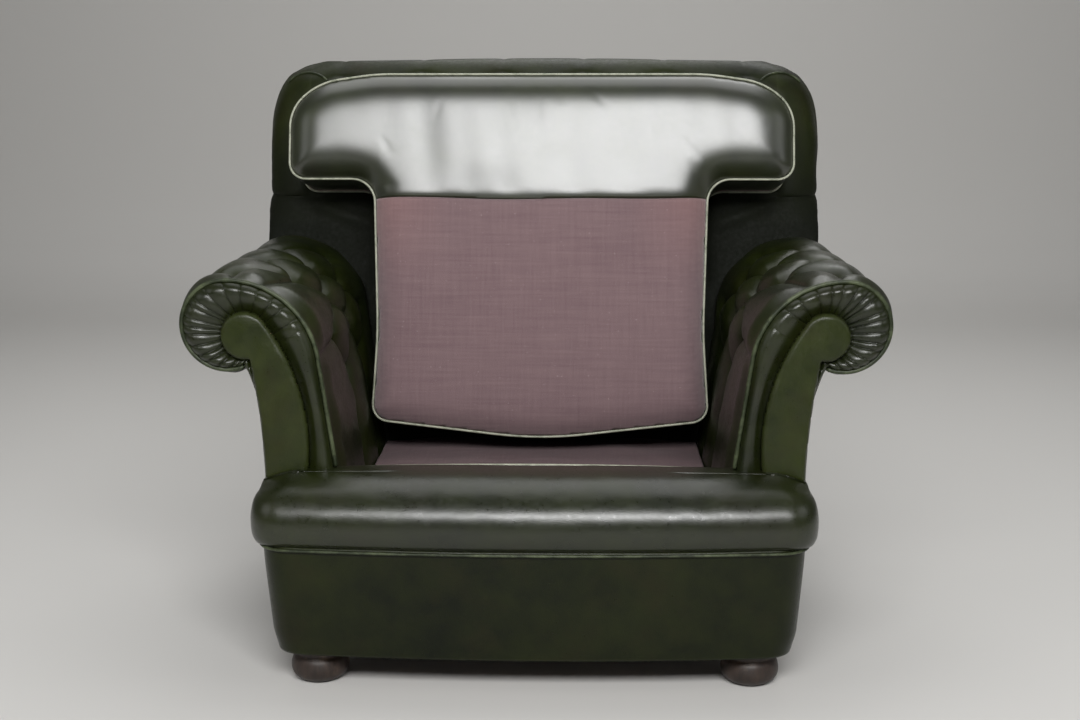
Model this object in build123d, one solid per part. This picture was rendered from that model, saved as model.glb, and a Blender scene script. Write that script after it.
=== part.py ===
"""Deep-buttoned club armchair with scroll arms and a loose T-shaped back cushion.

Millimetres, +Z up, +X to the sitter's left as seen from the front, the front faces -Y.
The origin is on the floor, in the middle of the chair.
"""

import os
from math import ceil, cos, pi, radians, sin, sqrt, tan

from build123d import *

# Overall sizes
chair_height = 975.0
chair_depth = 930.0

# Running clearances
soft_clearance = 0.3
cut_overrun = 20.0

# Bun feet
foot_height = 58.0
foot_radius = 46.0
foot_sole_radius = 29.0
foot_neck_radius = 36.0
foot_shoulder_radius = 43.0
foot_facets = 24
foot_heel_height = 8.0
foot_belly_height = 21.0
foot_waist_height = 40.0
foot_spread = 340.0
front_foot_setback = 100.0
rear_foot_setback = 118.0
foot_bolt_radius = 4.0
foot_bolt_sides = 6
foot_bolt_length = 44.0
foot_bolt_socket = 22.0

# Base box of the frame
base_half_width = 402.0
belt_half_width = 422.0
belt_height = 335.0
rail_thickness = 28.0
rail_top = 222.0
ledge_thickness = 13.0
ledge_depth = 175.0
seat_rail_depth = 80.0
rear_rail_depth = 90.0
corner_block_leg = 78.0
corner_block_depth = 90.0
dust_cover_thickness = 1.5
dust_cover_lap = 16.0
foot_hole_clearance = 3.0

# Leather front apron
apron_setback = 9.0
apron_bow = 23.0
apron_corner_radius = 50.0
apron_rake = 13.0
cover_wall = 9.0

# Padded front lip
lip_half_width = 429.0
lip_bow = 24.0
lip_corner_radius = 56.0
lip_nose_radius = 42.0
lip_arc_parts = 6
lip_slice_shares = (
    (0.0, 0.3, 0.25),
    (0.1, 0.0, 0.0),
    (0.42, 0.0, 0.0),
    (0.64, 0.04, 0.3),
    (0.8, 0.1, 1.0),
    (1.0, 0.28, 2.1),
)
lip_tongue_half_width = 290.0
rear_welt_crown = 5.0
lip_board_height = 62.0

# Welt cord that trims the seams
piping_radius = 4.0
piping_sides = 6
welt_chord_error = 0.4
soft_chord_error = 0.8

# Scroll arms, seen from the front
arm_front_setback = 129.0
scroll_centre_x = 475.5
scroll_centre_z = 561.0
scroll_radius = 70.0
shoulder_radius = 141.0
arm_lean = 8.0
neck_angle = 248.0
neck_mid_x = 428.5
neck_mid_z = 430.0
arm_swell = 6.5
arm_padding = 34.0
arm_front_rounding = 6.0
arm_post_thickness = 22.0
arm_post_inset = 12.0
arm_board_width = 106.0
arm_board_thickness = 25.0
arm_board_tail = 122.0
pad_foot_gap = 5.0
tack_rail_width = 22.0
tack_rail_height = 34.0

# Pleated scroll front and its comma-shaped facing
pleat_band_depth = 12.0
pleat_count = 27
pleat_first_angle = -100.0
pleat_last_angle = 196.0
pleat_reach = 128.0
pleat_root_share = 0.9
pleat_width_share = 0.075
pleat_depth_share = 0.07
pleat_edge_chamfer = 4.0
facing_disc_offset_x = 29.5
facing_disc_offset_z = 15.0
facing_disc_radius = 38.5
facing_thickness = 9.0
facing_edge_bevel = 3.0
facing_foot_inner_x = 357.0
facing_inner_mid_x = 376.0
facing_inner_mid_z = 500.0
facing_outer_mid_x = 431.0
facing_outer_mid_z = 448.0
facing_inner_join_angle = 150.0
facing_outer_join_angle = 262.0

# Deep buttoning of the arms: rows by their run from the roll's top, columns along the arm
tuft_pitch = 150.0
first_tuft_setback = 175.0
tuft_row_run_shares = (-0.0733, 0.5867, 0.9467, 1.3533, 1.9)
tuft_columns = 4
tuft_dimple_radius = 17.0
tuft_dimple_depth = 8.0
crease_width = 3.0
crease_depth = 5.0
button_radius = 9.5
button_rim = 2.5
button_dome = 3.5
button_crown_radius = 4.0
button_sides = 8
outer_pleat_angles = (-110.0, 80.0)

# Back, seen from the front and from the side
back_lean = 13.2
back_roll_radius = 90.0
back_half_width = 518.0
back_corner_drop = 155.0
back_corner_mid_x = 508.0
back_corner_mid_drop = 89.0
back_shoulder_x = 479.0
back_shoulder_drop = 35.0
back_crown_x = 415.0
back_crown_drop = 9.0
back_padding = 60.0
wing_split_x = 445.0
wing_seam_drop = 260.0
rear_foot_line_setback = 63.0
rear_rake = 3.4
back_side_thickness = 24.0
back_core_drop = 100.0
back_rail_depth = 44.0
back_rail_height = 44.0
outside_back_thickness = 5.0
outside_back_inset = 8.5
outside_back_drop = 153.0
rear_welt_bend = 34.0
rear_top_angle = 36.0
back_roll_columns = 6
back_tuft_pitch = 154.0
back_roll_row_angle = 42.0
back_wall_row_drop = 117.0
rear_pleat_angle = 20.0
crease_rise = 3.0
wing_welt_inner_x = 410.0
wing_welt_inner_drop = 45.0
wing_welt_mid_x = 446.0
wing_welt_mid_drop = 27.0
wing_welt_outer_x = 483.0
wing_welt_outer_drop = 39.0
webbing_width = 50.0
webbing_thickness = 2.0
webbing_pitch = 130.0

# Seat deck
deck_top = 269.0
deck_cloth_thickness = 3.0
spring_count = 5
spring_pitch = 112.0
spring_wire = 3.6
spring_half_width = 25.0
spring_turns = 6
spring_bend_chamfer = 8.0
spring_end_lap = 20.0
clip_width = 22.0
clip_plate = 2.0

# Loose T-shaped back cushion, in its own leaning plane
cushion_thickness = 152.0
cushion_ear_reach = 154.0
cushion_height = 655.0
cushion_ear_depth = 187.0
cushion_body_half_width = 299.0
cushion_waist_half_width = 290.0
cushion_waist_height = 190.0
cushion_corner_height = 34.0
cushion_top_corner_radius = 108.0
cushion_ear_corner_radius = 28.0
cushion_armpit_radius = 44.0
cushion_foot_corner_radius = 28.0
cushion_belly_radius = 700.0
cushion_waist_radius = 900.0
cushion_seam_height = 430.0
cushion_crown = 20.0
cushion_bow = 8.0
cushion_edge_bevel = 13.0
cushion_panel_root = 10.0
cushion_cover_wall = 4.0
cushion_rear_wall = 3.0

# Places worked out from the sizes above
front_face_y = -chair_depth / 2
facing_disc_x = scroll_centre_x - facing_disc_offset_x
facing_disc_z = scroll_centre_z - facing_disc_offset_z
rear_face_y = chair_depth / 2
back_corner_z = chair_height - back_corner_drop
back_corner_mid_z = chair_height - back_corner_mid_drop
back_shoulder_z = chair_height - back_shoulder_drop
back_crown_z = chair_height - back_crown_drop
wing_seam_z = chair_height - wing_seam_drop
back_core_top = chair_height - back_core_drop
outside_back_top = chair_height - outside_back_drop
back_wall_row_z = chair_height - back_wall_row_drop
wing_welt_inner_z = chair_height - wing_welt_inner_drop
wing_welt_mid_z = chair_height - wing_welt_mid_drop
wing_welt_outer_z = chair_height - wing_welt_outer_drop
rear_foot_line_y = rear_face_y - rear_foot_line_setback
cushion_ear_half_width = cushion_body_half_width + cushion_ear_reach
cushion_ear_height = cushion_height - cushion_ear_depth
arm_front_y = front_face_y + arm_front_setback
ledge_top = rail_top + ledge_thickness
back_lean_rad = radians(back_lean)
back_roll_y = rear_face_y - back_roll_radius
back_roll_z = chair_height - back_roll_radius
tangent_y = back_roll_y - back_roll_radius * cos(back_lean_rad)
tangent_z = back_roll_z + back_roll_radius * sin(back_lean_rad)
scroll_top_z = scroll_centre_z + scroll_radius
shoulder_centre_z = scroll_top_z - shoulder_radius
swell_radius = shoulder_radius + arm_swell


def back_front_y(z):
    """Front plane of the inside back at one height."""
    return tangent_y + (z - tangent_z) * tan(back_lean_rad)


def rear_plane_y(z):
    """Outer face of the outside back at one height."""
    return rear_foot_line_y + (z - foot_height) * tan(radians(rear_rake))


def side_x(z):
    """Outer face of the base and of the outside arms below the belt line."""
    rise = (z - foot_height) / (belt_height - foot_height)
    return base_half_width + (belt_half_width - base_half_width) * rise


back_root_half_width = side_x(rail_top) - cover_wall


def block(x0, x1, y0, y1, z0, z1):
    """Box between three pairs of planes."""
    box = Box(x1 - x0, y1 - y0, z1 - z0, align=(Align.MIN, Align.MIN, Align.MIN))
    return Pos(x0, y0, z0) * box


def front_slab(face, y0, y1):
    """Outline drawn in the front view, made solid between two depths."""
    return extrude(Plane.XZ.offset(-y1) * face, y1 - y0)


def side_slab(face, x0, x1):
    """Outline drawn in the side view, made solid between two widths."""
    return extrude(Plane.YZ.offset(x0) * face, x1 - x0)


def other_side(part):
    """Copy of a right-hand piece for the left-hand side."""
    return mirror(part, about=Plane.YZ)


def facet(corners):
    """Flat face through corners in space."""
    return make_face(Polyline(*corners, close=True)).faces()[0]


def ringed_solid(rings, looped=False, twisted=False):
    """Solid of flat facets between neighbouring rings of equally many points."""
    pairs = list(zip(rings, rings[1:]))
    faces = []
    if looped:
        pairs.append((rings[-1], rings[0]))
    else:
        faces = [facet(rings[0]), facet(rings[-1])]
    for lower, upper in pairs:
        for side, corner in enumerate(lower):
            after = (side + 1) % len(lower)
            quad = (corner, lower[after], upper[after], upper[side])
            if twisted:
                faces += [facet(quad[:3]), facet((quad[0], quad[2], quad[3]))]
            else:
                faces.append(facet(quad))
    return Solid(Shell(faces))


def faceted(rings, sides):
    """Turned form with flat facets through rings, each a radius and a height."""
    turns = [2 * pi * side / sides for side in range(sides)]
    return ringed_solid([[(radius * cos(a), radius * sin(a), z) for a in turns] for radius, z in rings])


def path_points(path, chord_error, arc_parts=0):
    """Places along a path, its arcs cut into chords no deeper than the error allowed."""
    points = [path @ 0]
    for edge in path.wires()[0].order_edges() if path.wires() else [path]:
        parts = 1
        if edge.geom_type == GeomType.CIRCLE:
            parts = arc_parts or ceil(edge.length / sqrt(8 * edge.radius * chord_error))
        shares = [part / parts for part in range(parts + 1)]
        if (edge @ 0 - points[-1]).length > (edge @ 1 - points[-1]).length:
            shares.reverse()
        points += [edge @ share for share in shares[1:]]
    return points


def chorded(face, chord_error):
    """Face whose arcs are cut into short chords."""
    points = path_points(face.wires()[0], chord_error)
    return make_face(Polyline(*points[:-1], close=True))


def piping_along(path):
    """Welt cord with a many-sided section, mitred at each bend of its path."""
    points = path_points(path, welt_chord_error)
    looped = (points[0] - points[-1]).length < welt_chord_error
    if looped:
        points.pop()
        points.append(points[0])
    runs = [(after - before).normalized() for before, after in zip(points, points[1:])]
    start = Plane(points[0], z_dir=runs[0])
    turns = [2 * pi * side / piping_sides for side in range(piping_sides)]
    ring = [start.from_local_coords((piping_radius * cos(a), piping_radius * sin(a), 0)) for a in turns]
    mitres = [runs[-1] + runs[0] if looped else runs[0]]
    mitres += [before + after for before, after in zip(runs, runs[1:])] + [runs[-1]]
    rings = []
    for place, mitre, run in zip(points, mitres, runs[:1] + runs):
        ring = [dot + run * ((place - dot).dot(mitre) / run.dot(mitre)) for dot in ring]
        rings.append(ring)
    if looped:
        rings.pop()
    return ringed_solid(rings, looped)


# Arm outlines, right-hand side, in the front view
def arm_curve(inset):
    """Shoulder, roll and neck of the arm, stepped in from the piping line."""
    shoulder = shoulder_radius - inset
    roll = scroll_radius - inset
    lean = radians(arm_lean)
    wall_top = (
        scroll_centre_x - shoulder * cos(lean),
        shoulder_centre_z + shoulder * sin(lean),
    )
    inner = CenterArc((scroll_centre_x, shoulder_centre_z), shoulder, 90, 90 - arm_lean)
    outer = CenterArc((scroll_centre_x, scroll_centre_z), roll, neck_angle - 360, 450 - neck_angle)
    return wall_top, inner, outer


def wall_x(wall_top, z):
    """Inner face of an arm below its shoulder."""
    return wall_top[0] - (wall_top[1] - z) * tan(radians(arm_lean))


def outer_neck_curve(inset, foot_z):
    """Outside of the arm from the foot up to the neck under the roll."""
    neck = (
        scroll_centre_x + (scroll_radius - inset) * cos(radians(neck_angle)),
        scroll_centre_z + (scroll_radius - inset) * sin(radians(neck_angle)),
    )
    belt = (side_x(belt_height) - inset, belt_height)
    foot = (side_x(foot_z) - inset, foot_z)
    edges = [ThreePointArc(neck, (neck_mid_x - inset, neck_mid_z), belt)]
    if foot_z < belt_height:
        edges.append(Line(belt, foot))
    return edges, neck, foot


def arm_section(inset, foot_z):
    """Whole closed section of an arm down to one height."""
    wall_top, inner, outer = arm_curve(inset)
    neck_edges, _, outer_foot = outer_neck_curve(inset, foot_z)
    inner_foot = (wall_x(wall_top, foot_z), foot_z)
    foot = Line(inner_foot, outer_foot)
    return make_face([inner, outer, *neck_edges, foot, Line(wall_top, inner_foot)])


# Back outline and section
def back_outline():
    """Half outline of the back from the front: root, scroll end, side, corner and crown."""
    neck = (
        scroll_centre_x + scroll_radius * cos(radians(neck_angle)),
        scroll_centre_z + scroll_radius * sin(radians(neck_angle)),
    )
    rise = sqrt(scroll_radius**2 - (back_half_width - scroll_centre_x) ** 2)
    side_foot = (back_half_width, scroll_centre_z + rise)
    far_side = (scroll_centre_x + scroll_radius, scroll_centre_z)
    root = ledge_top
    edges = [
        Line((0, root), (back_root_half_width, root)),
        Line((back_root_half_width, root), (back_root_half_width, neck[1])),
        Line((back_root_half_width, neck[1]), neck),
        ThreePointArc(neck, far_side, side_foot),
        Line(side_foot, (back_half_width, back_corner_z)),
        ThreePointArc(
            (back_half_width, back_corner_z),
            (back_corner_mid_x, back_corner_mid_z),
            (back_shoulder_x, back_shoulder_z),
        ),
        Line((back_shoulder_x, back_shoulder_z), (back_crown_x, back_crown_z)),
        Line((back_crown_x, back_crown_z), (0, chair_height)),
        Line((0, chair_height), (0, root)),
    ]
    return make_face(edges)


def back_section():
    """Side section of the back: leaning front, rolled top and raked rear."""
    root = ledge_top
    rear_inner = outside_back_thickness
    rear_top_z = back_roll_z - back_roll_radius * sin(radians(rear_top_angle))
    rear_top_y = back_roll_y + back_roll_radius * cos(radians(rear_top_angle))
    roll = ThreePointArc(
        (tangent_y, tangent_z), (back_roll_y, chair_height), (rear_top_y, rear_top_z)
    )
    edges = [
        Line((back_front_y(root), root), (tangent_y, tangent_z)),
        roll,
        Line((rear_top_y, rear_top_z), (rear_plane_y(outside_back_top) - rear_inner, outside_back_top)),
        Line(
            (rear_plane_y(outside_back_top) - rear_inner, outside_back_top),
            (rear_plane_y(root) - rear_inner, root),
        ),
        Line((rear_plane_y(root) - rear_inner, root), (back_front_y(root), root)),
    ]
    return make_face(edges)




def save(part, name):
    """Write one piece."""
    export_step(part, f"parts/{name}.step")


def save_pair(part, name):
    """Write a right-hand piece and its left-hand twin."""
    save(part, f"right_{name}")
    save(other_side(part), f"left_{name}")


os.makedirs("parts", exist_ok=True)


# Bun feet
def bun_foot():
    """Turned foot, widest low down, with a flat sole and a flat top."""
    rings = [
        (foot_sole_radius, 0),
        (foot_shoulder_radius, foot_heel_height),
        (foot_radius, foot_belly_height),
        (foot_shoulder_radius, foot_waist_height),
        (foot_neck_radius, foot_height),
    ]
    socket = Pos(0, 0, foot_height - foot_bolt_socket) * foot_bolt()
    return faceted(rings, foot_facets) - socket


def foot_bolt():
    """Hexagon stud that joins a foot to the corner block above it, standing on its lower end."""
    return extrude(RegularPolygon(foot_bolt_radius, foot_bolt_sides), foot_bolt_length)


front_foot_y = front_face_y + front_foot_setback
rear_foot_y = rear_face_y - rear_foot_setback
foot_places = {
    "front_left_foot": (-foot_spread, front_foot_y),
    "front_right_foot": (foot_spread, front_foot_y),
    "rear_left_foot": (-foot_spread, rear_foot_y),
    "rear_right_foot": (foot_spread, rear_foot_y),
}
foot = bun_foot()
for name, (x, y) in foot_places.items():
    save(Pos(x, y, 0) * foot, name)
bolt_foot_z = foot_height - foot_bolt_socket
foot_bolts = [Pos(x, y, bolt_foot_z) * foot_bolt() for x, y in foot_places.values()]
save(Compound(foot_bolts), "foot_bolts")


# Base box: leather apron outside, rails inside
def base_plan(half_width, front_y, bow, corner_radius, rear_y):
    """Plan of the base: straight sides, rounded front corners and a bowed front."""
    corner_y = front_y + bow
    plan = make_face(
        [
            Line((-half_width, rear_y), (-half_width, corner_y)),
            ThreePointArc((-half_width, corner_y), (0, front_y), (half_width, corner_y)),
            Line((half_width, corner_y), (half_width, rear_y)),
            Line((half_width, rear_y), (-half_width, rear_y)),
        ]
    )
    corners = plan.vertices().group_by(Axis.Y)[0]
    return fillet(corners, corner_radius)


def base_body(inset, rear_y):
    """Tapered box of the base, stepped in from the leather's outer face."""
    foot_front_y = front_face_y + apron_setback + apron_rake + inset
    head_front_y = front_face_y + apron_setback + inset
    radius = apron_corner_radius - inset
    foot_plan = base_plan(base_half_width - inset, foot_front_y, apron_bow, radius, rear_y)
    head_plan = base_plan(side_x(ledge_top) - inset, head_front_y, apron_bow, radius, rear_y)
    return loft([Pos(0, 0, foot_height) * foot_plan, Pos(0, 0, ledge_top) * head_plan], ruled=True)


apron_core = base_body(cover_wall, arm_front_y + cut_overrun)
front_apron = base_body(0, arm_front_y) - apron_core
save(front_apron, "front_apron")

rail_core = base_body(cover_wall, rear_face_y)
rail_outer_x = base_half_width - cover_wall
rail_inner_x = rail_outer_x - rail_thickness
front_rail_y = front_face_y + apron_setback + apron_rake + cover_wall + apron_bow
rear_rail_y = rear_plane_y(foot_height) - outside_back_thickness
front_rail_rear = front_rail_y + rail_thickness
rear_rail_front = rear_rail_y - rail_thickness
front_rail = block(-rail_inner_x, rail_inner_x, front_rail_y, front_rail_rear, foot_height, rail_top)
save(front_rail & rail_core, "front_rail")
rear_rail_top = foot_height + rear_rail_depth
rear_rail = block(-rail_inner_x, rail_inner_x, rear_rail_front, rear_rail_y, foot_height, rear_rail_top)
save(rear_rail, "rear_rail")
side_rail = block(rail_inner_x, rail_outer_x, front_rail_y, rear_rail_y, foot_height, rail_top)
save_pair(side_rail & rail_core, "side_rail")
seat_rail_front = back_front_y(ledge_top) - rail_thickness / 2
seat_rail_rear = seat_rail_front + rail_thickness
seat_rail_foot = ledge_top - seat_rail_depth
seat_back_rail = block(
    -rail_inner_x, rail_inner_x, seat_rail_front, seat_rail_rear, seat_rail_foot, ledge_top
)
save(seat_back_rail, "seat_back_rail")


def corner_block(corner_x, corner_y, side, way):
    """Glued triangular block in one corner of the rails, drilled for the foot's stud."""
    corner = (corner_x, corner_y)
    along_rail = (corner_x - side * corner_block_leg, corner_y)
    along_side = (corner_x, corner_y + way * corner_block_leg)
    plan = make_face(Polyline(corner, along_rail, along_side, close=True))
    prism = extrude(Pos(0, 0, foot_height) * plan, corner_block_depth)
    foot_y = front_foot_y if way > 0 else rear_foot_y
    return prism - Pos(side * foot_spread, foot_y, bolt_foot_z) * foot_bolt()


blocks = []
for side in (-1, 1):
    blocks.append(corner_block(side * rail_inner_x, front_rail_rear, side, 1))
    blocks.append(corner_block(side * rail_inner_x, rear_rail_front, side, -1))
save(Compound(blocks), "corner_blocks")

ledge_rear = front_face_y + ledge_depth
ledge = block(-rail_outer_x, rail_outer_x, front_rail_y, ledge_rear, rail_top, ledge_top)
save(ledge & rail_core, "front_ledge")

cover_x = rail_inner_x + dust_cover_lap
cover_front = front_rail_rear - dust_cover_lap
cover_rear = rear_rail_front + dust_cover_lap
cover_foot = foot_height - dust_cover_thickness
dust_cover = block(-cover_x, cover_x, cover_front, cover_rear, cover_foot, foot_height)
notch = foot_radius + foot_hole_clearance
for x, y in foot_places.values():
    reach_x = x + notch if x < 0 else x - notch
    reach_y = y + notch if y < 0 else y - notch
    side_edges = sorted((reach_x, 2 * x))
    end_edges = sorted((reach_y, 2 * y))
    dust_cover -= block(*side_edges, *end_edges, 0, foot_height)
save(dust_cover, "dust_cover")

# Frame of the arms
arm_post_rear = arm_front_y + arm_post_thickness
arm_post = front_slab(arm_section(arm_post_inset, ledge_top), arm_front_y, arm_post_rear)
save_pair(arm_post, "arm_post")
arm_board_z = scroll_centre_z - arm_board_thickness / 2
arm_board_rear = back_front_y(scroll_centre_z) + arm_board_tail
arm_board = block(
    back_root_half_width,
    back_root_half_width + arm_board_width,
    arm_post_rear,
    arm_board_rear,
    arm_board_z,
    arm_board_z + arm_board_thickness,
)
save_pair(arm_board, "arm_board")
lip_board_top = ledge_top + lip_board_height
lip_board_x = wall_x(arm_curve(arm_post_inset)[0], ledge_top)
lip_board = block(-lip_board_x, lip_board_x, arm_front_y, arm_post_rear, ledge_top, lip_board_top)
lip_board -= arm_post
lip_board -= other_side(arm_post)
save(lip_board, "lip_board")
pad_foot_z = ledge_top + pad_foot_gap
tack_rail_x = wall_x(arm_curve(arm_padding - arm_swell)[0], pad_foot_z)
tack_rail_rear = back_front_y(pad_foot_z) + back_padding
tack_rail = block(
    tack_rail_x,
    tack_rail_x + tack_rail_width,
    arm_post_rear,
    tack_rail_rear,
    pad_foot_z,
    pad_foot_z + tack_rail_height,
)
save(Compound([tack_rail, other_side(tack_rail)]), "arm_tack_rails")

# Frame of the back, laid out in the leaning front plane of the inside back
back_plane = Plane(
    origin=(0, tangent_y, tangent_z),
    x_dir=(1, 0, 0),
    z_dir=(0, -cos(back_lean_rad), sin(back_lean_rad)),
)


def height_on_back(z, depth):
    """Place up the leaning plane of a point at one height and depth behind the front."""
    return (z - tangent_z + depth * sin(back_lean_rad)) / cos(back_lean_rad)


def leaning_block(x0, x1, v0, v1, front, rear):
    """Box in the leaning plane, its depths taken behind the front of the inside back."""
    return back_plane * block(x0, x1, v0, v1, -rear, -front)


side_inner_x = back_root_half_width - back_side_thickness
rail_head_v = height_on_back(back_core_top, back_padding)
rail_rear = back_padding + back_rail_depth
back_top_rail = leaning_block(
    -side_inner_x, side_inner_x, rail_head_v - back_rail_height, rail_head_v, back_padding, rail_rear
)
save(back_top_rail, "back_top_rail")
rail_foot_v = height_on_back(deck_top, back_padding)
back_lower_rail = leaning_block(
    -side_inner_x, side_inner_x, rail_foot_v, rail_foot_v + back_rail_height, back_padding, rail_rear
)
save(back_lower_rail, "back_lower_rail")


def back_side_face():
    """Side board of the back: leaning front edge, raked rear edge."""
    front_shift = back_padding / cos(back_lean_rad)
    return make_face(
        Polyline(
            (back_front_y(rail_top) + front_shift, rail_top),
            (rear_plane_y(rail_top) - outside_back_thickness, rail_top),
            (rear_plane_y(back_core_top) - outside_back_thickness, back_core_top),
            (back_front_y(back_core_top) + front_shift, back_core_top),
            close=True,
        )
    )


back_side = side_slab(back_side_face(), side_inner_x, back_root_half_width)
save_pair(back_side, "back_side")

strap_gap_top = rail_head_v - back_rail_height
strap_gap_foot = rail_foot_v + back_rail_height
webbing = []
for column in range(-2, 3):
    x = column * webbing_pitch - webbing_width / 2
    first_layer = (back_padding, back_padding + webbing_thickness)
    webbing.append(leaning_block(x, x + webbing_width, strap_gap_foot, strap_gap_top, *first_layer))
for row in range(1, 4):
    v = strap_gap_foot + row * (strap_gap_top - strap_gap_foot) / 4 - webbing_width / 2
    second_layer = (back_padding + webbing_thickness, back_padding + 2 * webbing_thickness)
    webbing.append(leaning_block(-side_inner_x, side_inner_x, v, v + webbing_width, *second_layer))
save(Compound(webbing), "back_webbing")

# Seat springs, their clips and the deck
spring_seat_y = ledge_rear - spring_end_lap
spring_stop_y = seat_rail_front + spring_end_lap / 2
spring_step = (spring_stop_y - spring_seat_y) / spring_turns
spring_axis_z = ledge_top + spring_wire / 2


def zigzag_spring(x):
    """Flat zigzag of square wire from the ledge to the rear seat rail."""
    points = []
    for turn in range(spring_turns + 1):
        way = 1 if turn % 2 else -1
        y = spring_seat_y + turn * spring_step
        near_x = x - way * spring_half_width
        far_x = x + way * spring_half_width
        soft = way * spring_bend_chamfer
        if turn > 0:
            points.append((near_x, y - spring_bend_chamfer, spring_axis_z))
            points.append((near_x + soft, y, spring_axis_z))
        else:
            points.append((near_x, y, spring_axis_z))
        if turn < spring_turns:
            points.append((far_x - soft, y, spring_axis_z))
            points.append((far_x, y + spring_bend_chamfer, spring_axis_z))
        else:
            points.append((far_x, y, spring_axis_z))
    path = Polyline(*points)
    start = Plane(path @ 0, z_dir=path % 0)
    return sweep(start * Rectangle(spring_wire, spring_wire), path=path, transition=Transition.RIGHT)


def spring_clip(x, y):
    """Folded plate clip over the straight end of a spring."""
    reach = spring_wire / 2 + clip_plate
    outside = block(
        x - clip_width / 2, x + clip_width / 2, y - reach, y + reach, ledge_top, spring_top + clip_plate
    )
    wire = block(
        x - clip_width,
        x + clip_width,
        y - spring_wire / 2,
        y + spring_wire / 2,
        ledge_top,
        spring_top,
    )
    return outside - wire


spring_top = ledge_top + spring_wire
springs = []
clips = []
for number in range(spring_count):
    x = (number - (spring_count - 1) / 2) * spring_pitch
    springs.append(zigzag_spring(x))
    clips.append(spring_clip(x, spring_seat_y))
    clips.append(spring_clip(x, spring_stop_y))
save(Compound(springs), "seat_springs")
save(Compound(clips), "spring_clips")

deck_foot = spring_top + clip_plate
deck_pad_top = deck_top - deck_cloth_thickness
deck_half_width = wall_x(arm_curve(-arm_swell)[0], pad_foot_z)
deck_rear = back_front_y(deck_foot)
deck_pad = block(-deck_half_width, deck_half_width, arm_post_rear, deck_rear, deck_foot, deck_pad_top)
deck_cloth = block(-deck_half_width, deck_half_width, arm_post_rear, deck_rear, deck_pad_top, deck_top)
save(deck_pad, "deck_pad")
save(deck_cloth, "deck_cloth")


# Padded front lip with its welts
def from_rear_corner(ring):
    """Closed ring of places, counted from its rear right corner."""
    start = max(range(len(ring)), key=lambda number: ring[number].X + ring[number].Y)
    return ring[start:] + ring[:start]


def front_lip():
    """Full-width roll on the ledge, sloping to the front, with a tongue between the arms."""
    rings = []
    for height_share, side_share, front_share in lip_slice_shares:
        setback = front_share * lip_nose_radius
        plan = base_plan(
            lip_half_width - side_share * lip_nose_radius,
            front_face_y + setback,
            lip_bow,
            lip_corner_radius - setback / 2,
            arm_front_y,
        )
        height = ledge_top + height_share * (belt_height - ledge_top)
        ring = path_points((Pos(0, 0, height) * plan).wires()[0], 0, lip_arc_parts)[:-1]
        rings.append(from_rear_corner(ring))
    tongue = block(
        -lip_tongue_half_width,
        lip_tongue_half_width,
        arm_front_y - piping_radius,
        arm_post_rear,
        lip_board_top,
        belt_height,
    )
    return ringed_solid(rings, twisted=True) + tongue


save(front_lip(), "front_lip")

seam_front_y = front_face_y + apron_setback - piping_radius
seam_plan = base_plan(
    side_x(ledge_top) + piping_radius,
    seam_front_y,
    apron_bow,
    apron_corner_radius + piping_radius,
    arm_front_y,
)
seam_z = ledge_top - piping_radius
seam_edges = seam_plan.edges().filter_by(lambda edge: edge.center().Y < arm_front_y - soft_clearance)
lip_welts = [piping_along(Pos(0, 0, seam_z) * Wire(seam_edges))]
rear_welt_y = arm_post_rear + piping_radius
rear_welt_z = belt_height - piping_radius
rear_welt = ThreePointArc(
    (-lip_tongue_half_width, rear_welt_y, rear_welt_z - rear_welt_crown),
    (0, rear_welt_y, rear_welt_z),
    (lip_tongue_half_width, rear_welt_y, rear_welt_z - rear_welt_crown),
)
lip_welts.append(piping_along(rear_welt))
save(Compound(lip_welts), "lip_piping")


# Deep buttoning
def tuft_hollow(point, normal):
    """Cutter for the dimple that a button pulls into the padding."""
    floor_radius = (button_radius + soft_clearance) / cos(pi / button_sides)
    spread = tuft_dimple_radius - floor_radius
    mouth_radius = tuft_dimple_radius + spread
    rings = [(floor_radius, -tuft_dimple_depth), (mouth_radius, tuft_dimple_depth)]
    return Plane(origin=point, z_dir=normal) * faceted(rings, button_sides)


def tuft_button(point, normal):
    """Covered button seated on the floor of its dimple."""
    head = button_rim + button_dome
    rings = [(button_radius, 0), (button_radius, button_rim), (button_crown_radius, head)]
    seat = Plane(origin=point, z_dir=normal).offset(-tuft_dimple_depth)
    return seat * faceted(rings, button_sides)


def crease(start, middle, end, normal):
    """Wedge that cuts one pleat between two places on the padding."""
    run = Vector(*end) - Vector(*start)
    lift = crease_depth + tuft_dimple_depth
    mouth = [(-crease_width, lift), (crease_width, lift), (0, 0)]
    wedge = extrude(Plane.YZ * make_face(Polyline(*mouth, close=True)), run.length / 2, both=True)
    return Plane(origin=middle, x_dir=run, z_dir=normal).offset(-crease_depth) * wedge


def pleat_ring(radius, first_angle, last_angle):
    """Face of a pleat that runs round a roll, in the plane of the roll's section."""
    outer = CenterArc((0, 0), radius + tuft_dimple_depth, first_angle, last_angle - first_angle)
    inner = CenterArc((0, 0), radius - crease_depth, first_angle, last_angle - first_angle)
    return make_face([outer, inner, Line(outer @ 0, inner @ 0), Line(outer @ 1, inner @ 1)])


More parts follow.
